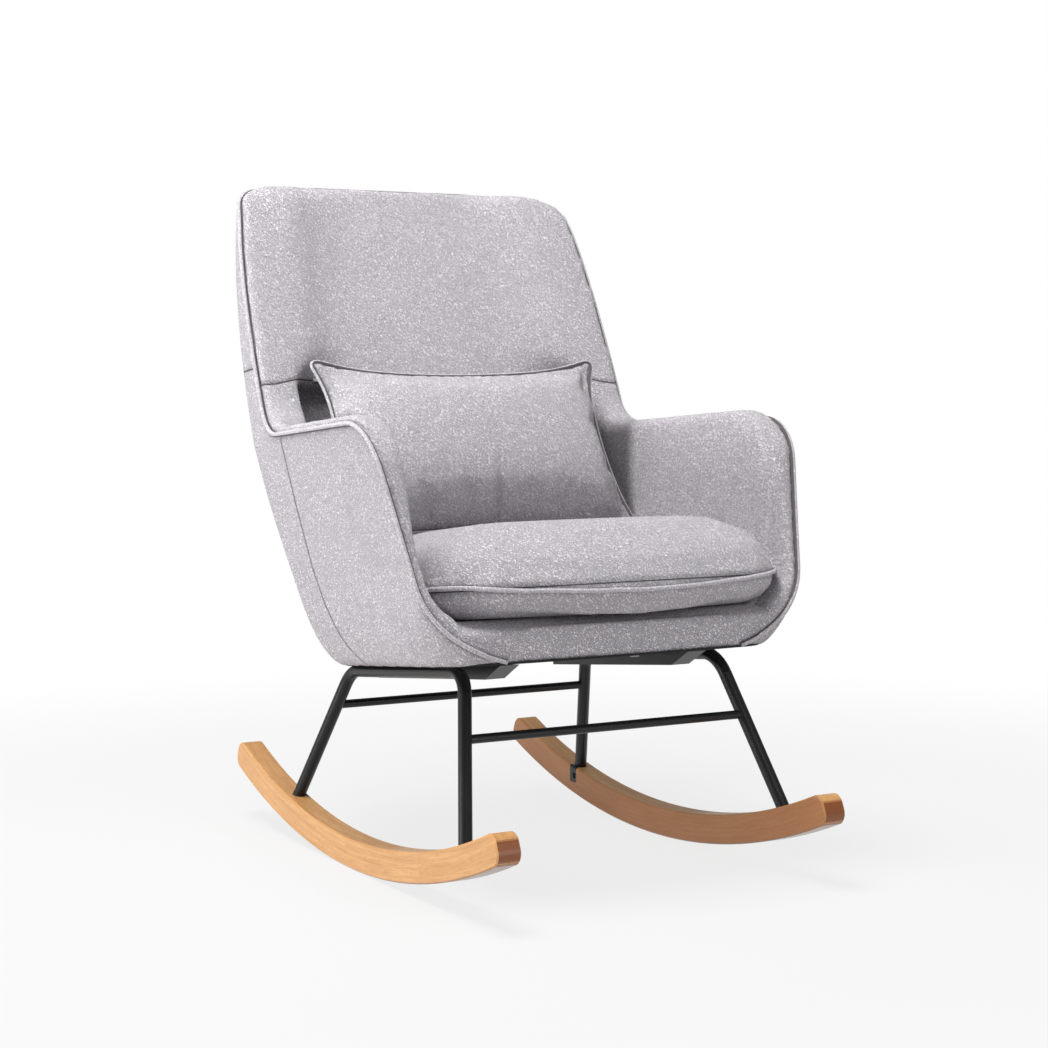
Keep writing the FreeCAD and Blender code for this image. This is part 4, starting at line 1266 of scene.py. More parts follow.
def rounded_outline(corners: Sequence[tuple[float, float]], rounds: Sequence[float],
                    count: int = 9) -> list[tuple[float, float]]:
    """A closed outline with arcs at its corners.

    Args:
        corners: The corners in order.
        rounds: The radius at each.
        count: Points on each arc.

    Returns:
        The outline's points.
    """
    points: list[tuple[float, float]] = []
    total = len(corners)
    for index, corner in enumerate(corners):
        here = Vector(corner)
        before = (Vector(corners[index - 1]) - here).normalized()
        after = (Vector(corners[(index + 1) % total]) - here).normalized()
        radius = rounds[index]
        if radius <= 0.0:
            points.append(tuple(here))
            continue
        half = before.angle(after) / 2.0
        reach = radius / math.tan(half)
        centre = here + (before + after).normalized() * (radius / math.sin(half))
        start = here + before * reach - centre
        end = here + after * reach - centre
        for step in range(count):
            share = step / (count - 1)
            turn = start.lerp(end, share).normalized() * radius
            points.append(tuple(centre + turn))
    return points


class TubUpholstery:
    """Outer covers, padded arms, wings and back, and the piping between them."""

    def __init__(self, sizes: TubSizes, seat: SeatFrame) -> None:
        """Keep the sizes.

        Args:
            sizes: The tub's measures.
            seat: The level frame.
        """
        self.sizes = sizes
        self.seat = seat
        self.voxel = detail(5.5, 9.0) * MM

    def plan(self, z: float, inset: float) -> list[Vector]:
        """Outline of the tub at one height.

        Args:
            z: The height.
            inset: How far it is drawn in.

        Returns:
            Its points on the chair.
        """
        s = self.sizes
        front_x = s.shares(s.front_widths, z) * s.half_width - inset
        rear_x = s.shares(s.rear_widths, z) * s.half_width - inset
        rear_y = s.shares(s.rear_depths, z) * s.depth - inset
        front_y = s.front + inset
        front_round = max(s.shares(s.front_corners, z) * s.rear_corner - inset, 4.0)
        rear_round = s.rear_corner - inset
        front, rear = (front_x, front_y, front_round), (rear_x, rear_y, rear_round)
        return [self.seat.point(x, y, z) for x, y in bowed_plan(front, rear, s.bow, 10, 10)]

    def hollow_plan(self, z: float, grow: float) -> list[Vector]:
        """Outline of the sitter's space at one height, open past the front.

        Args:
            z: The height.
            grow: How far it is spread.

        Returns:
            Its points on the chair.
        """
        s = self.sizes
        grow -= flowing(s.fillet_levels, s.fillet_insets, z)
        rear_x = s.shares(s.rear_widths, z) * s.half_width - s.wall * s.shares(s.rear_walls, z) + grow
        front_x = s.shares(s.front_widths, z) * s.half_width - s.wall * s.shares(s.front_walls, z) + grow
        rear_y = s.inner_back + s.inner_back_slope * (z - s.inner_back_height) + grow
        corner = flowing(s.corner_levels, s.inner_corners, z)
        front_y = s.front - s.mouth
        front_x += (front_x - rear_x) * s.mouth / (rear_y - corner - s.front)
        points = arc_points((rear_x - corner, rear_y - corner), corner, 0.0, 90.0, 10)
        points += arc_points((corner - rear_x, rear_y - corner), corner, 90.0, 180.0, 10)
        points += [(-front_x, front_y), (front_x, front_y)]
        return [self.seat.point(x, y, z) for x, y in points]

    def body(self, name: str, inset: float) -> bpy.types.Object:
        """The whole tub as a solid.

        Args:
            name: The solid's name.
            inset: How far it is drawn in.

        Returns:
            The solid.
        """
        return lofted(name, [self.plan(z, inset) for z in self.sizes.heights(0.0)])

    def hollow(self, low: float, grow: float) -> bpy.types.Object:
        """The sitter's space as a solid.

        Args:
            low: Its lowest height.
            grow: How far it is spread.

        Returns:
            The solid.
        """
        heights = [low] + [z for z in self.sizes.heights(0.0) if z > low + 3.0]
        return lofted("hollow", [self.hollow_plan(z, grow) for z in heights])

    def side_line(self, proud: float) -> list[tuple[float, float]]:
        """Arms and wings from the side, as depth and height.

        Args:
            proud: How far the line stands outside the piping.

        Returns:
            The line from the front foot to the wing's top.
        """
        s = self.sizes
        corners = list(s.arm_front)
        moved = []
        for index, corner in enumerate(corners):
            here = Vector(corner)
            first = (here - Vector(corners[index - 1])).normalized() if index else None
            last = (Vector(corners[index + 1]) - here).normalized() if index + 1 < len(corners) else first
            first = first or last
            out_first = Vector((-first.y, first.x))
            out_last = Vector((-last.y, last.x))
            out = (out_first + out_last).normalized()
            moved.append(tuple(here + out * (proud / max(out.dot(out_first), 0.3))))
        return moved

    def side_block(self, proud: float, full_rail: bool) -> bpy.types.Object:
        """Block across the chair with the outline of arms and wings.

        Args:
            proud: How far the outline stands outside the piping.
            full_rail: Whether the front rail keeps its bow below the cushion.

        Returns:
            The block.
        """
        s = self.sizes
        line = self.side_line(proud)
        rounds = list(s.arm_rounds)
        rounds[2] = s.foot_round
        rounds[3] = s.arm_rounds[3] + proud
        rounds[4] = s.arm_rounds[4] + proud * 2.0
        if full_rail:
            ahead = s.front - s.bow - 20.0
            low = s.deck - s.rail_fall
            rail = [(ahead, -s.beyond), (ahead, low), (s.front + 8.0, low), (s.front + 48.0, s.deck)]
            line = rail + [tuple(p) for p in line[3:]]
            rounds = [0.0, 0.0, 0.0, 0.0] + rounds[3:]
        far = s.depth + s.beyond
        high = s.height + s.above
        outline = line + [(line[-1][0] + 30.0, high), (far, high), (far, -s.beyond)]
        points = rounded_outline(outline, rounds + [0.0, 0.0, 0.0])
        wide = s.half_width + s.beyond
        rings = [[self.seat.point(side * wide, y, z) for y, z in points] for side in (-1.0, 1.0)]
        return lofted("side_block", rings)

    def top_line(self, proud: float) -> list[tuple[float, float]]:
        """Back from the front, as across and height."""
        s = self.sizes
        wide = s.half_width + s.beyond
        right = [(wide, -s.beyond), (wide, s.shoulder_height - s.beyond),
                 (s.shoulder_half_width + proud, s.shoulder_height),
                 (s.corner_half_width + proud, s.height + proud)]
        left = [(-x, z) for x, z in reversed(right)]
        outline = right + [(0.0, s.height - s.dip + proud)] + left
        rounds = [0.0, 0.0, 0.0, s.shoulder_round + proud, 2500.0, s.shoulder_round + proud, 0.0, 0.0, 0.0]
        return rounded_outline(outline, rounds)

    def top_block(self, proud: float) -> bpy.types.Object:
        """Block through the chair with the outline of the back's round shoulders.

        Args:
            proud: How far the outline stands outside the piping.

        Returns:
            The block.
        """
        s = self.sizes
        points = self.top_line(proud)
        deep = s.depth + s.above
        rings = [[self.seat.point(x, y, z) for x, z in points] for y in (-deep, deep)]
        return lofted("top_block", rings)

    def outer_cover(self) -> bpy.types.Object:
        """Taut cloth over the outside of arms, wings and back.

        Returns:
            The piece.
        """
        layers = self.sizes.layers
        cover = self.body("outer_cover", 0.0)
        shaped(cover, self.side_block(layers.cover_edge, False), Cut.KEEP)
        shaped(cover, self.top_block(0.0), Cut.KEEP)
        shaped(cover, self.hollow(self.sizes.deck - layers.cover_drop, layers.cover_gap), Cut.REMOVE)
        remeshed(cover, self.voxel)
        softened(cover, 3)
        height = self.seat.level(places_of(cover))[:, 2]
        softened(cover, detail(16, 6), 1.0 - smooth_step(height, 34.0, 76.0))
        put_places(cover, places_of(cover) + normals_of(cover) * (layers.cover_proud * MM))
        return cover

    def padding(self) -> bpy.types.Object:
        """Padded inside of arms and wings, inner back, top and front rail.

        Returns:
            The piece.
        """
        layers = self.sizes.layers
        pads = self.body("padded_inside", layers.pad_inset)
        shaped(pads, self.side_block(layers.pad_edge, True), Cut.KEEP)
        shaped(pads, self.top_block(layers.pad_top), Cut.KEEP)
        shaped(pads, self.hollow(self.sizes.deck, 0.0), Cut.REMOVE)
        remeshed(pads, self.voxel)
        softened(pads, detail(12, 6))
        return pads

    def ease_corners(self, pads: bpy.types.Object, line: Sequence[Vector]) -> None:
        """Let the wings run softly into the back.

        Args:
            pads: The padded inside.
            line: The piping, beside which the pads keep their round edge.
        """
        s = self.sizes
        places = places_of(pads)
        level = self.seat.level(places)
        free = smooth_step(away_from(line, places), 0.012, 0.040)
        wing = smooth_step(level[:, 2], s.back_seam - 4.0, s.back_seam + 60.0)
        outward = smooth_step(np.abs(level[:, 0]), 80.0, 150.0)
        softened(pads, detail(130, 40), free * wing * outward)
        arm = smooth_step(-level[:, 2], 20.0 - s.back_seam, 60.0 - s.back_seam)
        arm = arm * smooth_step(level[:, 2], 90.0, 130.0)
        softened(pads, 26, free * arm)

    def recessed(self, piece: bpy.types.Object) -> np.ndarray:
        """Set the inner back in below its seam.

        Args:
            piece: The cover or the padded inside.

        Returns:
            How shaded by the recess each point is, from 0 to 1.
        """
        s, recess = self.sizes, self.sizes.recess
        places = places_of(piece)
        level = self.seat.level(places)
        across, y, z = np.abs(level[:, 0]), level[:, 1], level[:, 2]
        normals = normals_of(piece)
        facing = smooth_step(-normals[:, 1], 0.15, 0.55) * (y > 70.0)
        below = smooth_step(-z, 4.0 - s.back_seam, 13.0 - s.back_seam) * smooth_step(z, 70.0, 140.0)
        inside = smooth_step(-across, -recess.half_width, recess.edge - recess.half_width)
        put_places(piece, places - normals * (recess.depth * MM * facing * below * inside)[:, None])
        softened(piece, 2)
        within = y < s.inner_back + s.inner_back_slope * (z - s.inner_back_height) + 14.0
        # Painted shade: the recess below the back seam and the rear of the arms beside the pillow are
        # darkened.
        under = smooth_step(-z, 1.0 - s.back_seam, 7.0 - s.back_seam) * inside
        back = under * smooth_step(y, *recess.back_start) * recess.shade
        arm = smooth_step(y, *recess.arm_start) * (1.0 - smooth_step(z, *recess.arm_top))
        arm = arm * (across > recess.arm_half_width) * recess.arm_shade
        inward = normals[:, 0] * np.sign(level[:, 0]) < 0.3
        return np.maximum(back, arm) * smooth_step(z, *recess.foot) * within * inward

    def round_shoulders(self, places: np.ndarray) -> np.ndarray:
        """Lower the wings' front tops a little, as their filling does.

        Args:
            places: Rows of metres.

        Returns:
            The rows after the change.
        """
        level = self.seat.level(places)
        share = smooth_step(np.abs(level[:, 0]), 120.0, 262.0) * smooth_step(level[:, 2], 672.0, 748.0)
        down = np.array(self.seat.way(0.0, 0.0, -1.0)) * self.sizes.shoulder_fall
        back = np.array(self.seat.way(0.0, 1.0, 0.0)) * self.sizes.shoulder_lean
        return places + share[:, None] * (down + back)

    def piping_line(self) -> list[Vector]:
        """Line of the piping from one front foot over the arms, wings and back to the other.

        Returns:
            Its corners on the chair, before it is laid on the cloth.
        """
        s = self.sizes
        far = s.depth + s.beyond
        corners = rounded_outline(list(self.side_line(0.0)) + [(far, s.height), (far, -s.beyond)],
                                  list(s.arm_rounds) + [0.0, 0.0])
        stations = evened([Vector((0.0, y, z)) for y, z in corners], 7.0, True)
        right: list[Vector] = []
        limit = s.shoulder_height
        for _, y, z in stations:
            if 1.0 < z < limit and y < 290.0:
                right.append(self.seat.point(self.side_x(y, z), y, z))
        middle = s.corner_half_width - s.shoulder_round
        outline = evened([Vector((x, 0.0, z)) for x, z in self.top_line(1.5)], 6.0, True)
        widest = s.shoulder_half_width + 2.0
        shoulder = [(p.x, p.z) for p in outline if middle < p.x < widest and p.z > limit]
        arc = sorted(shoulder, key=lambda place: -place[0])
        for step, (x, z) in enumerate(arc):
            share = max(0.0, step / (len(arc) - 1) - 0.35) / 0.65
            share = share * share * (3.0 - 2.0 * share)
            rear = s.shares(s.rear_depths, z) * s.depth - 4.0
            edge = self.side_x(self.wing_depth(z), z)
            depth = self.wing_depth(z) * (1.0 - share) + rear * share
            right.append(self.seat.point(min(x, edge), depth, z))
        left = [Vector((-p.x, p.y, p.z)) for p in reversed(right)]
        return right + left

    def wing_depth(self, z: float) -> float:
        """Depth of the wing's front edge at a height."""
        (low_y, low_z), (high_y, high_z) = self.sizes.arm_front[4:6]
        return low_y + (high_y - low_y) * (z - low_z) / (high_z - low_z)

    def side_x(self, y: float, z: float) -> float:
        """Half width of the tub's side at a depth and height."""
        s = self.sizes
        corner = max(s.shares(s.front_corners, z) * s.rear_corner, 4.0)
        front_x = s.shares(s.front_widths, z) * s.half_width
        rear_x = s.shares(s.rear_widths, z) * s.half_width
        rear_y = s.shares(s.rear_depths, z) * s.depth - s.rear_corner
        start = s.front + corner
        if y < start:
            drop = min(start - y, corner)
            return front_x - corner + math.sqrt(corner * corner - drop * drop)
        return front_x + (rear_x - front_x) * (y - start) / (rear_y - start)

    def side_seam_gap(self, shader: Shader) -> Quantity:
        """Distance from the seam between arm cover and back cover.

        Args:
            shader: The cloth's material.

        Returns:
            Millimetres.
        """
        s = self.sizes
        _, y, z = self.seat.coordinates(shader)
        places = [(y_share * s.depth, z_share * s.height) for y_share, z_share in s.side_seam]
        places.append((places[-1][0] + 14.0, 420.0))
        curve = shader.add("ShaderNodeFloatCurve")
        line = curve.mapping.curves[0]
        low, high = -40.0, 140.0
        top = places[-1][1]
        line.points[0].location = (0.0, (places[0][0] - low) / (high - low))
        line.points[-1].location = (1.0, (places[-1][0] - low) / (high - low))
        for depth, height in places[1:-1]:
            line.points.new(height / top, (depth - low) / (high - low))
        curve.mapping.update()
        shader.feed(curve.inputs["Value"], z / top)
        seam = Quantity(shader, curve.outputs[0]) * (high - low) + low
        side_gap = (y - seam).absolute() + (z - places[-1][1]).ramp(-70.0, -30.0) * 50.0
        back_gap = (z - s.rear_seam - (y - 200.0) * 0.02).absolute()
        back_gap = back_gap + (y * -1.0 + 120.0).ramp(0.0, 20.0) * 50.0
        return side_gap.lower_of(back_gap)

    def inner_seam_gap(self, shader: Shader) -> Quantity:
        """Distance from the seams of the padded inside.

        Args:
            shader: The cloth's material.

        Returns:
            Millimetres.
        """
        s = self.sizes
        x, y, z = self.seat.coordinates(shader)
        fall = x.absolute().ramp(238.0, 300.0) * 9.0
        across = (z - s.back_seam + fall).absolute() + (y * -1.0 + 150.0).ramp(0.0, 8.0) * 50.0
        curve = (z - 40.0) * (z - 40.0) * 0.006
        rail = (x.absolute() - s.rail_seam + curve).absolute() + (z - 58.0).ramp(0.0, 6.0) * 50.0
        return across.lower_of(rail)

    def build(self) -> None:
        """Make and dress every piece of the tub."""
        s = self.sizes
        cover_cloth = LoopedCloth(name="cover_cloth", seams=self.side_seam_gap).material()
        pad_cloth = LoopedCloth(name="pad_cloth", seams=self.inner_seam_gap).material()
        cord = cord_cloth("cord_cloth")
        cover = self.outer_cover()
        dressed(cover, cover_cloth, Body.CHAIR,
                ("back_cover", "arm_cover_right", "arm_cover_left"))
        pads = self.padding()
        dressed(pads, pad_cloth, Body.CHAIR,
                ("arm_pad_right", "arm_pad_left", "back_pad_upper", "back_pad_lower", "back_top_pad",
                 "front_rail_pad"))
        line = relaxed(evened(self.piping_line(), 0.006, False), 3, False)
        self.ease_corners(pads, line)
        for piece in (cover, pads):
            shade = self.recessed(piece)
            # Cloth near the piping is drawn in a little and gets painted shade; the recess gets its painted
            # shade too.
            tuck_and_painted_shade = 1.0 - smooth_step(away_from(line, places_of(piece)), 0.003, 0.010)
            put_places(piece, places_of(piece) - normals_of(piece) * (tuck_and_painted_shade * 0.7 * MM)[:, None])
            painted(piece, "tuck_and_painted_shade", np.maximum(tuck_and_painted_shade * 0.22, shade))
            put_places(piece, self.round_shoulders(places_of(piece)))
        line = changed(line, self.round_shoulders)
        outward = outward_at(line, (cover, pads), 0.014, False)
        line = [place + direction * 0.0012 for place, direction in zip(line, outward)]
        piped("edge_piping", line, outward, s.cord * MM, False, cord, Body.CHAIR,
              ("arm_welt_right", "arm_welt_left"))
        self.back_roll(pads, cord)
        self.underside()

    def underside(self) -> None:
        """Thin black cloth under the tub."""
        cloth = WovenTape("underside_cloth", (0.03, 0.03, 0.032), (0.012, 0.012, 0.012), 400.0).material()
        sheet = lofted("underside_cloth", [self.plan(2.0, 2.5), self.plan(0.0, 4.0), [
            place + self.seat.way(0.0, 0.0, -1.2) for place in self.plan(0.0, 8.0)]])
        dressed(sheet, cloth, Body.CHAIR, ("dust_cover",))

    def back_roll(self, pads: bpy.types.Object, cloth: bpy.types.Material) -> None:
        """Thin sewn roll along the seam across the inner back.

        Args:
            pads: The padded inside it lies on.
            cloth: Its material.
        """
        s = self.sizes
        y = s.inner_back + s.inner_back_slope * (s.back_seam - s.inner_back_height)
        line = [self.seat.point(x, y, s.back_seam) for x in np.linspace(-215.0, 215.0, 40)]
        line = relaxed(settled(line, pads, 0.0008), 4, False)
        ahead = self.seat.way(0.0, -0.7, 0.7)
        ways = [ahead.normalized()] * len(line)
        piped("back_seam_roll", line, ways, s.roll * MM, False, cloth, Body.CHAIR)


# Loose pieces


@dataclass(frozen=True)
class CushionSizes:
    """Millimetres of the seat cushion in the level frame."""

    front: float = -348.0
    rear: float = 93.5
    front_half_width: float = 266.0
    rear_half_width: float = 236.0
    front_corner: float = 96.0
    rear_corner: float = 66.0
    bow: float = 24.0
    bottom: float = 58.0
    welt_height: float = 103.0
    rail_front: float = 326.0
    rail_bow: float = 20.0
    lip: float = 19.0
    sag: float = 16.0
    spread: float = 10.0
    drift: float = 11.0
    middle: float = -130.0
    drawn_in: float = 2.2
    pucker: float = 0.7
    pucker_height: float = 10.0
    cord: float = 3.4


class SeatCushion:
    """Loose seat cushion: a stuffed cover with piping round its middle."""

    def __init__(self, sizes: CushionSizes, seat: SeatFrame) -> None:
        """Keep the sizes.

        Args:
            sizes: The cushion's measures.
            seat: The level frame.
        """
        self.sizes = sizes
        self.seat = seat

    def ring(self, grow: float) -> list[Vector]:
        """The cushion's widest line.

        Args:
            grow: How far it is spread, in millimetres.

        Returns:
            Its points on the chair.
        """
        s = self.sizes
        front = (s.front_half_width + grow, s.front - grow, s.front_corner)
        rear = (s.rear_half_width + grow, s.rear + grow, s.rear_corner)
        return [self.seat.point(x, y, s.welt_height) for x, y in bowed_plan(front, rear, s.bow, 14, 16)]

    def build(self) -> None:
        """Make and dress the cushion."""
        s = self.sizes
        cushion = skin_copy("cushion_core", "seat_cushion_cover")
        remeshed(cushion, detail(5.0, 8.0) * MM)
        softened(cushion, 4)
        level = self.seat.level(places_of(cushion))
        sewn = np.abs(level[:, 2] - s.welt_height) < 3.0
        middle = (np.abs(level[:, 0]) < 190.0) & (np.abs(level[:, 1] - s.middle) < 150.0)
        underneath = (level[:, 2] < s.bottom + 4.0) & middle
        inflated(cushion, sewn | underneath, 4.0, 20, 6.0 * MM)
        softened(cushion, 10)
        self.gather(cushion)
        cloth = LoopedCloth(name="cushion_cloth", seams=self.welt_gap, seam=Seam(1.2, 9.0)).material()
        dressed(cushion, cloth, Body.CUSHION, ("cushion_cover", "cushion_core"))
        cord = cord_cloth("cushion_cord_cloth")
        ring = changed(evened(self.ring(2.0), 0.006, True), self.sagged)
        line = relaxed(settled(ring, cushion, s.cord * MM), 5, True)
        outward = outward_at(line, (cushion,), 0.012, True)
        piped("cushion_piping", line, outward, s.cord * MM, True, cord, Body.CUSHION,
              ("cushion_welt",), 1.06)

    def gather(self, cushion: bpy.types.Object) -> None:
        """Draw the cover in along the piping and pucker it beside the cord.

        Args:
            cushion: The cover.
        """
        s = self.sizes
        places = places_of(cushion)
        level = self.seat.level(places)
        normals = normals_of(cushion)
        off = level[:, 2] - s.welt_height
        near = np.exp(-(off / 9.0) ** 2)
        side = np.clip(1.0 - np.abs(normals[:, 2]) * 1.2, 0.0, 1.0)
        round_place = np.arctan2(level[:, 1] - s.middle, level[:, 0])
        pucker = np.sin(round_place * 61.0) * 0.5 + np.sin(round_place * 37.0 + 1.3) * 0.5
        band = np.exp(-((np.abs(off) - s.pucker_height) / 8.0) ** 2)
        shift = -near * s.drawn_in + pucker * band * s.pucker
        put_places(cushion, self.sagged(places + normals * (shift * side * MM)[:, None]))

    def sagged(self, places: np.ndarray) -> np.ndarray:
        """Let the front hang over the rail, spread between the arms and lie a little to one side.

        Args:
            places: Rows of metres.

        Returns:
            The rows after the change.
        """
        s = self.sizes
        level = self.seat.level(places)
        across = np.clip(1.0 - (level[:, 0] / 262.0) ** 2, 0.0, 1.0)
        ahead = smooth_step(-level[:, 1], 235.0, 368.0)
        beyond = -level[:, 1] - s.rail_front - s.rail_bow * across
        over = smooth_step(level[:, 2], 60.0, 96.0)
        fall = s.sag * ahead * across * over
        fall = np.maximum(fall, s.lip * smooth_step(beyond, -26.0, 14.0) * (1.0 - over))
        spread = np.sign(level[:, 0]) * smooth_step(np.abs(level[:, 0]), 60.0, 250.0)
        spread = spread * smooth_step(-level[:, 1], 90.0, 260.0)
        across_step = self.seat.way(1.0, 0.0, 0.0)
        down = self.seat.way(0.0, 0.0, -1.0)
        aside = spread * s.spread + smooth_step(-level[:, 1], 0.0, 240.0) * s.drift
        return places + fall[:, None] * np.array(down) + aside[:, None] * np.array(across_step)

    def welt_gap(self, shader: Shader) -> Quantity:
        """Distance from the piping's seam."""
        _, _, z = self.seat.coordinates(shader)
        return (z - self.sizes.welt_height + 4.0).absolute()


@dataclass(frozen=True)
class PillowSizes:
    """Millimetres of the lumbar pillow."""

    half_width: float = 238.0
    height: float = 272.0
    taper: float = 7.0
    sag: float = 15.0
    foot_sag: float = 3.0
    ear: float = 17.0
    foot_ear: float = 9.0
    corner: float = 9.0
    front_belly: float = 60.0
    rear_belly: float = 70.0
    foot_y: float = 45.0
    foot_z: float = 190.5
    lean: float = math.radians(20.3)
    cord: float = 3.0
    folds: float = 9.0
    fold_depth: float = 7.0
    fold_reach: float = 46.0
    fold_width: float = 26.0
    middle_fold: float = 6.0
    ridge: float = 3.0
    foot_shade: float = 0.34


class LumbarPillow:
    """Loose stuffed pillow with a piped knife edge."""

    def __init__(self, sizes: PillowSizes, seat: SeatFrame) -> None:
        """Keep the sizes.

        Args:
            sizes: The pillow's measures.
            seat: The level frame.
        """
        self.sizes = sizes
        self.seat = seat

    def spot(self, x: float, out: float, up: float) -> Vector:
        """A point of the pillow's own plane on the chair.

        Args:
            x: Across.
            out: Behind the plane.
            up: Over the pillow's middle.

        Returns:
            The place.
        """
        s = self.sizes
        rise = up + s.height / 2.0
        y = out * math.cos(s.lean) + rise * math.sin(s.lean) + s.foot_y
        z = -out * math.sin(s.lean) + rise * math.cos(s.lean) + s.foot_z
        return self.seat.point(x, y, z)

    def plane(self, places: np.ndarray) -> np.ndarray:
        """Places in the pillow's own plane, in millimetres.

        Args:
            places: Rows of metres.

        Returns:
            Across, behind the plane and over the middle.
        """
        s = self.sizes
        level = self.seat.level(places)
        deep = level[:, 1] - s.foot_y
        high = level[:, 2] - s.foot_z
        own = np.empty_like(level)
        own[:, 0] = level[:, 0]
        own[:, 1] = deep * math.cos(s.lean) - high * math.sin(s.lean)
        own[:, 2] = deep * math.sin(s.lean) + high * math.cos(s.lean) - s.height / 2.0
        return own

    def rim(self, across: float, up: float) -> tuple[float, float]:
        """Where a place of the unit square lies in the pillow's plane.

        Args:
            across: From -1 to 1.
            up: From -1 to 1.

        Returns:
            Millimetres across and up.
        """
        s = self.sizes
        half_height = s.height / 2.0
        near = abs(across) * abs(up)
        ear = near ** 6 * (s.ear if up > 0.0 else s.foot_ear) - near ** 70 * s.corner
        side_sag = s.sag * (1.0 - up * up) * abs(across) ** 3
        edge_sag = (s.sag if up > 0.0 else s.foot_sag) * (1.0 - across * across) * abs(up) ** 3
        width = s.half_width - s.taper * up - side_sag
        return across * (width + ear), up * (half_height - edge_sag + ear)

    def skin(self) -> bpy.types.Object:
        """Two panels of cloth sewn together round their edge.

        Returns:
            The cover before it is filled.
        """
        s = self.sizes
        mesh = bmesh.new()
        count = detail(84, 44)
        for belly in (-s.front_belly, s.rear_belly):
            panel = bmesh.ops.create_grid(mesh, x_segments=count, y_segments=int(count * 0.6), size=1.0)
            for vertex in panel["verts"]:
                u, v, _ = vertex.co
                x, z = self.rim(u, v)
                fill = max(0.0, (1.0 - abs(u) ** 2.4) * (1.0 - abs(v) ** 2.4)) ** 0.6
                vertex.co = self.spot(x, belly * fill, z)
        bmesh.ops.remove_doubles(mesh, verts=mesh.verts, dist=1e-5)
        return made("lumbar_pillow_cover", mesh)

    def build(self) -> None:
        """Make and dress the pillow."""
        pillow = self.skin()
        shade_smooth(pillow)
        own = self.plane(places_of(pillow))
        sewn = np.abs(own[:, 1]) < 0.5
        before = places_of(pillow)
        inflated(pillow, sewn, 5.0, 20, 8.0 * MM, 0.035)
        behind = smooth_step(own[:, 1], 4.0, 20.0)[:, None]
        after = places_of(pillow)
        put_places(pillow, after + (before - after) * behind * 0.8)
        self.crease(pillow)
        own = self.plane(places_of(pillow))
        # Painted shade on the pillow's lower front, where it sits down into the seat.
        foot = smooth_step(-own[:, 2], 0.0, self.sizes.height / 2.0 + 40.0) * (own[:, 1] < 0.0)
        painted(pillow, "tuck_and_painted_shade", foot * self.sizes.foot_shade)
        cloth = LoopedCloth(name="pillow_cloth").material()
        dressed(pillow, cloth, Body.PILLOW, ("pillow_cover", "pillow_fill"))
        cord = cord_cloth("pillow_cord_cloth")
        steps = np.linspace(-1.0, 1.0, 60)[:-1]
        around = [(u, -1.0) for u in steps] + [(1.0, v) for v in steps]
        around += [(-u, 1.0) for u in steps] + [(-1.0, -v) for v in steps]
        edge = [self.spot(self.rim(u, v)[0], 0.0, self.rim(u, v)[1]) for u, v in around]
        line = relaxed(evened(edge, 0.005, True), 3, True)
        middle = self.spot(0.0, 0.0, 0.0)
        outward = [(place - middle).normalized() for place in line]
        line = [place + direction * 0.0014 for place, direction in zip(line, outward)]
        radius = self.sizes.cord * MM
        piped("pillow_piping", line, outward, radius, True, cord, Body.PILLOW, ("pillow_welt",), 1.04)

    def crease(self, pillow: bpy.types.Object) -> None:
        """Fold the cover at its corners and middle as filling leaves it slack.

        Args:
            pillow: The cover.
        """
        s = self.sizes
        places = places_of(pillow)
        own = self.plane(places)
        normals = normals_of(pillow)
        shift = np.zeros(len(places))
        corners = ((-1.0, 1.0, 0.7), (1.0, -1.0, 1.0), (1.0, 1.0, 0.6), (-1.0, -1.0, 0.8))
        for corner_x, corner_z, spread in corners:
            dx = own[:, 0] - corner_x * s.half_width
            dz = own[:, 2] - corner_z * s.height / 2.0
            distance = np.hypot(dx, dz)
            turn = np.arctan2(dz * corner_z, dx * corner_x)
            folds = np.maximum(np.cos(turn * s.folds + corner_x), 0.0)
            band = np.exp(-((distance - s.fold_reach) / s.fold_width) ** 2)
            shift -= band * folds * s.fold_depth * spread
        middle = np.exp(-((own[:, 0] - 6.0 - own[:, 2] * 0.06) / 5.0) ** 2)
        low = np.clip((-own[:, 2] - 20.0) / 60.0, 0.0, 1.0) * (own[:, 1] < 0.0)
        ridge = np.exp(-((own[:, 0] + 7.0 - own[:, 2] * 0.06) / 5.0) ** 2)
        shift += (ridge * s.ridge - middle * s.middle_fold) * low
        rim = np.clip(np.abs(own[:, 1]) / 12.0, 0.0, 1.0)
        put_places(pillow, places + normals * (shift * rim * MM)[:, None])


# Base and hidden pieces


class Finishes:
    """Materials of the frame's own nodes, by their slot."""

    def __init__(self) -> None:
        """Build each material once."""
        self.by_slot = {
            "beech": BentBeech("bent_beech").material(),
            "black_steel": PowderCoat("powder_coat").material(),
            "zinc": BrightZinc("bright_zinc").material(),
            "frame_wood": SawnTimber("frame_timber").material(),
            "board": SawnTimber("plywood", (0.62, 0.48, 0.33), (0.47, 0.34, 0.22),
                                (30.0, 5.0, 40.0)).material(),
            "webbing": WovenTape("webbing", (0.30, 0.29, 0.29), (0.10, 0.10, 0.11), 180.0).material(),
            "dust_cloth": WovenTape("dust_cloth", (0.06, 0.06, 0.065), (0.02, 0.02, 0.02),
                                    400.0).material(),
            "boucle": LoopedCloth(name="frame_cloth").material(),
            "padding": WovenTape("padding", (0.86, 0.83, 0.74), (0.74, 0.71, 0.62), 60.0).material(),
            "zip_tape": WovenTape("zip_tape", (0.52, 0.51, 0.52), (0.36, 0.35, 0.36), 600.0).material(),
        }

    def dress(self) -> None:
        """Give every node of the frame the material of its slot."""
        for entry in frame["record"]["subparts"]:
            node = frame["nodes"][entry["node"]]
            material = self.by_slot[entry["material_slot"]]
            for slot in node.material_slots:
                slot.material = material


# Studio


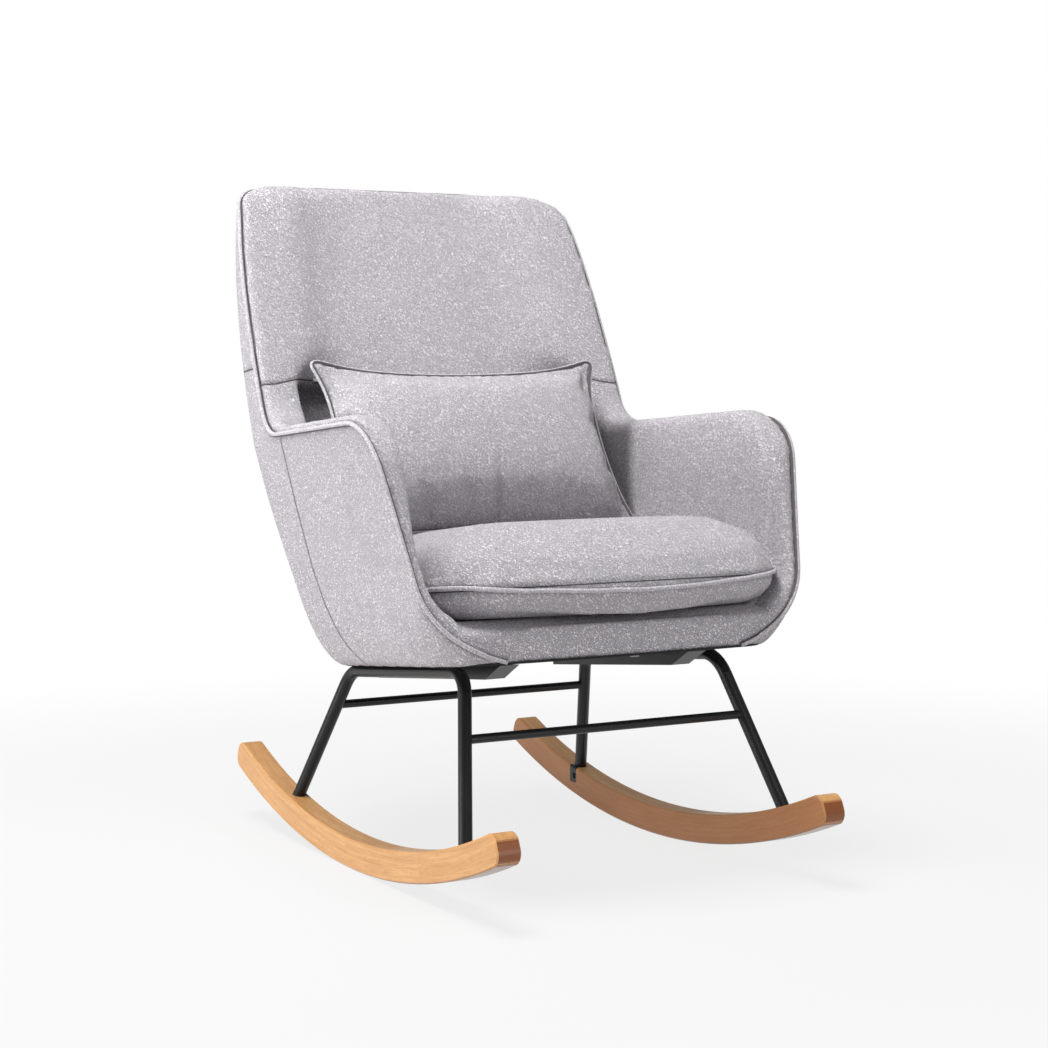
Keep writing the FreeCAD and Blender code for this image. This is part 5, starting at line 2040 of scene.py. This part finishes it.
@dataclass(frozen=True)
class Lamp:
    """One soft area lamp: where it hangs, what it points at, the side of its panel, and its watts."""

    name: str
    place: tuple[float, float, float]
    target: tuple[float, float, float]
    size: float
    power: float

    def hang(self) -> None:
        """Add the lamp to the scene."""
        data = bpy.data.lights.new(self.name, "AREA")
        data.size = self.size
        data.energy = self.power
        lamp = bpy.data.objects.new(self.name, data)
        heading = Vector(self.target) - Vector(self.place)
        turn = heading.to_track_quat("-Z", "Y").to_matrix().to_4x4()
        lamp.matrix_world = Matrix.Translation(self.place) @ turn
        bpy.context.scene.collection.objects.link(lamp)


@dataclass(frozen=True)
class Studio:
    """Camera, lights and floor."""

    place: tuple[float, float, float] = (-1.515, -2.833, 0.698)
    yaw: float = math.radians(28.985)
    pitch: float = math.radians(-3.686)
    roll: float = math.radians(-0.222)
    lens: float = 74.392
    shift: tuple[float, float] = (-0.01887, -0.0028)
    surround: float = 0.34
    reach: float = 14.0
    lamps: tuple[Lamp, ...] = (
        Lamp("key", (-0.8, -0.1, 3.4), (0.0, 0.0, 0.45), 1.5, 108.0),
        Lamp("side", (-3.0, 0.4, 0.62), (0.0, 0.0, 0.5), 0.9, 62.0),
        Lamp("front", (0.5, -3.3, 0.8), (0.0, 0.0, 0.3), 1.8, 26.0),
    )

    def camera(self) -> None:
        """Set up the camera."""
        flat = math.cos(self.pitch)
        ahead = Vector((math.sin(self.yaw) * flat, math.cos(self.yaw) * flat, math.sin(self.pitch)))
        right = Vector((math.cos(self.yaw), -math.sin(self.yaw), 0.0))
        up = right.cross(ahead)
        turned_right = right * math.cos(self.roll) + up * math.sin(self.roll)
        turned_up = up * math.cos(self.roll) - right * math.sin(self.roll)
        data = bpy.data.cameras.new("camera")
        data.lens = self.lens
        data.sensor_width = 36.0
        data.shift_x, data.shift_y = self.shift
        data.clip_start, data.clip_end = 0.05, 60.0
        camera = bpy.data.objects.new("camera", data)
        turn = Matrix((turned_right, turned_up, -ahead)).transposed()
        camera.matrix_world = Matrix.Translation(self.place) @ turn.to_4x4()
        bpy.context.scene.collection.objects.link(camera)
        bpy.context.scene.camera = camera

    def floor(self) -> None:
        """Lay the floor."""
        mesh = bmesh.new()
        bmesh.ops.create_grid(mesh, x_segments=1, y_segments=1, size=self.reach)
        floor = made("floor", mesh)
        floor.data.materials.append(StudioFloor().material())

    def build(self) -> None:
        """Set up the studio."""
        scene = bpy.context.scene
        scene.view_settings.view_transform = "Standard"
        world = bpy.data.worlds.new("surround")
        world.use_nodes = True
        tree = world.node_tree
        soft = next(n for n in tree.nodes if n.type == "BACKGROUND")
        soft.inputs["Color"].default_value = (1.0, 1.0, 1.0, 1.0)
        soft.inputs["Strength"].default_value = self.surround
        white = tree.nodes.new("ShaderNodeBackground")
        white.inputs["Strength"].default_value = 1.0
        white.inputs["Color"].default_value = (1.0, 1.0, 1.0, 1.0)
        rays = tree.nodes.new("ShaderNodeLightPath")
        mix = tree.nodes.new("ShaderNodeMixShader")
        output = next(n for n in tree.nodes if n.type == "OUTPUT_WORLD")
        tree.links.new(rays.outputs["Is Camera Ray"], mix.inputs[0])
        tree.links.new(soft.outputs[0], mix.inputs[1])
        tree.links.new(white.outputs[0], mix.inputs[2])
        tree.links.new(mix.outputs[0], output.inputs["Surface"])
        scene.world = world
        self.camera()
        for lamp in self.lamps:
            lamp.hang()
        self.floor()


def main() -> None:
    """Build the chair's looks in order."""
    logging.basicConfig(level=logging.INFO, format="%(name)s %(message)s")
    seat = SeatFrame()
    Finishes().dress()
    TubUpholstery(TubSizes(), seat).build()
    SeatCushion(CushionSizes(), seat).build()
    LumbarPillow(PillowSizes(), seat).build()
    Studio().build()


if __name__ == "__main__":
    main()
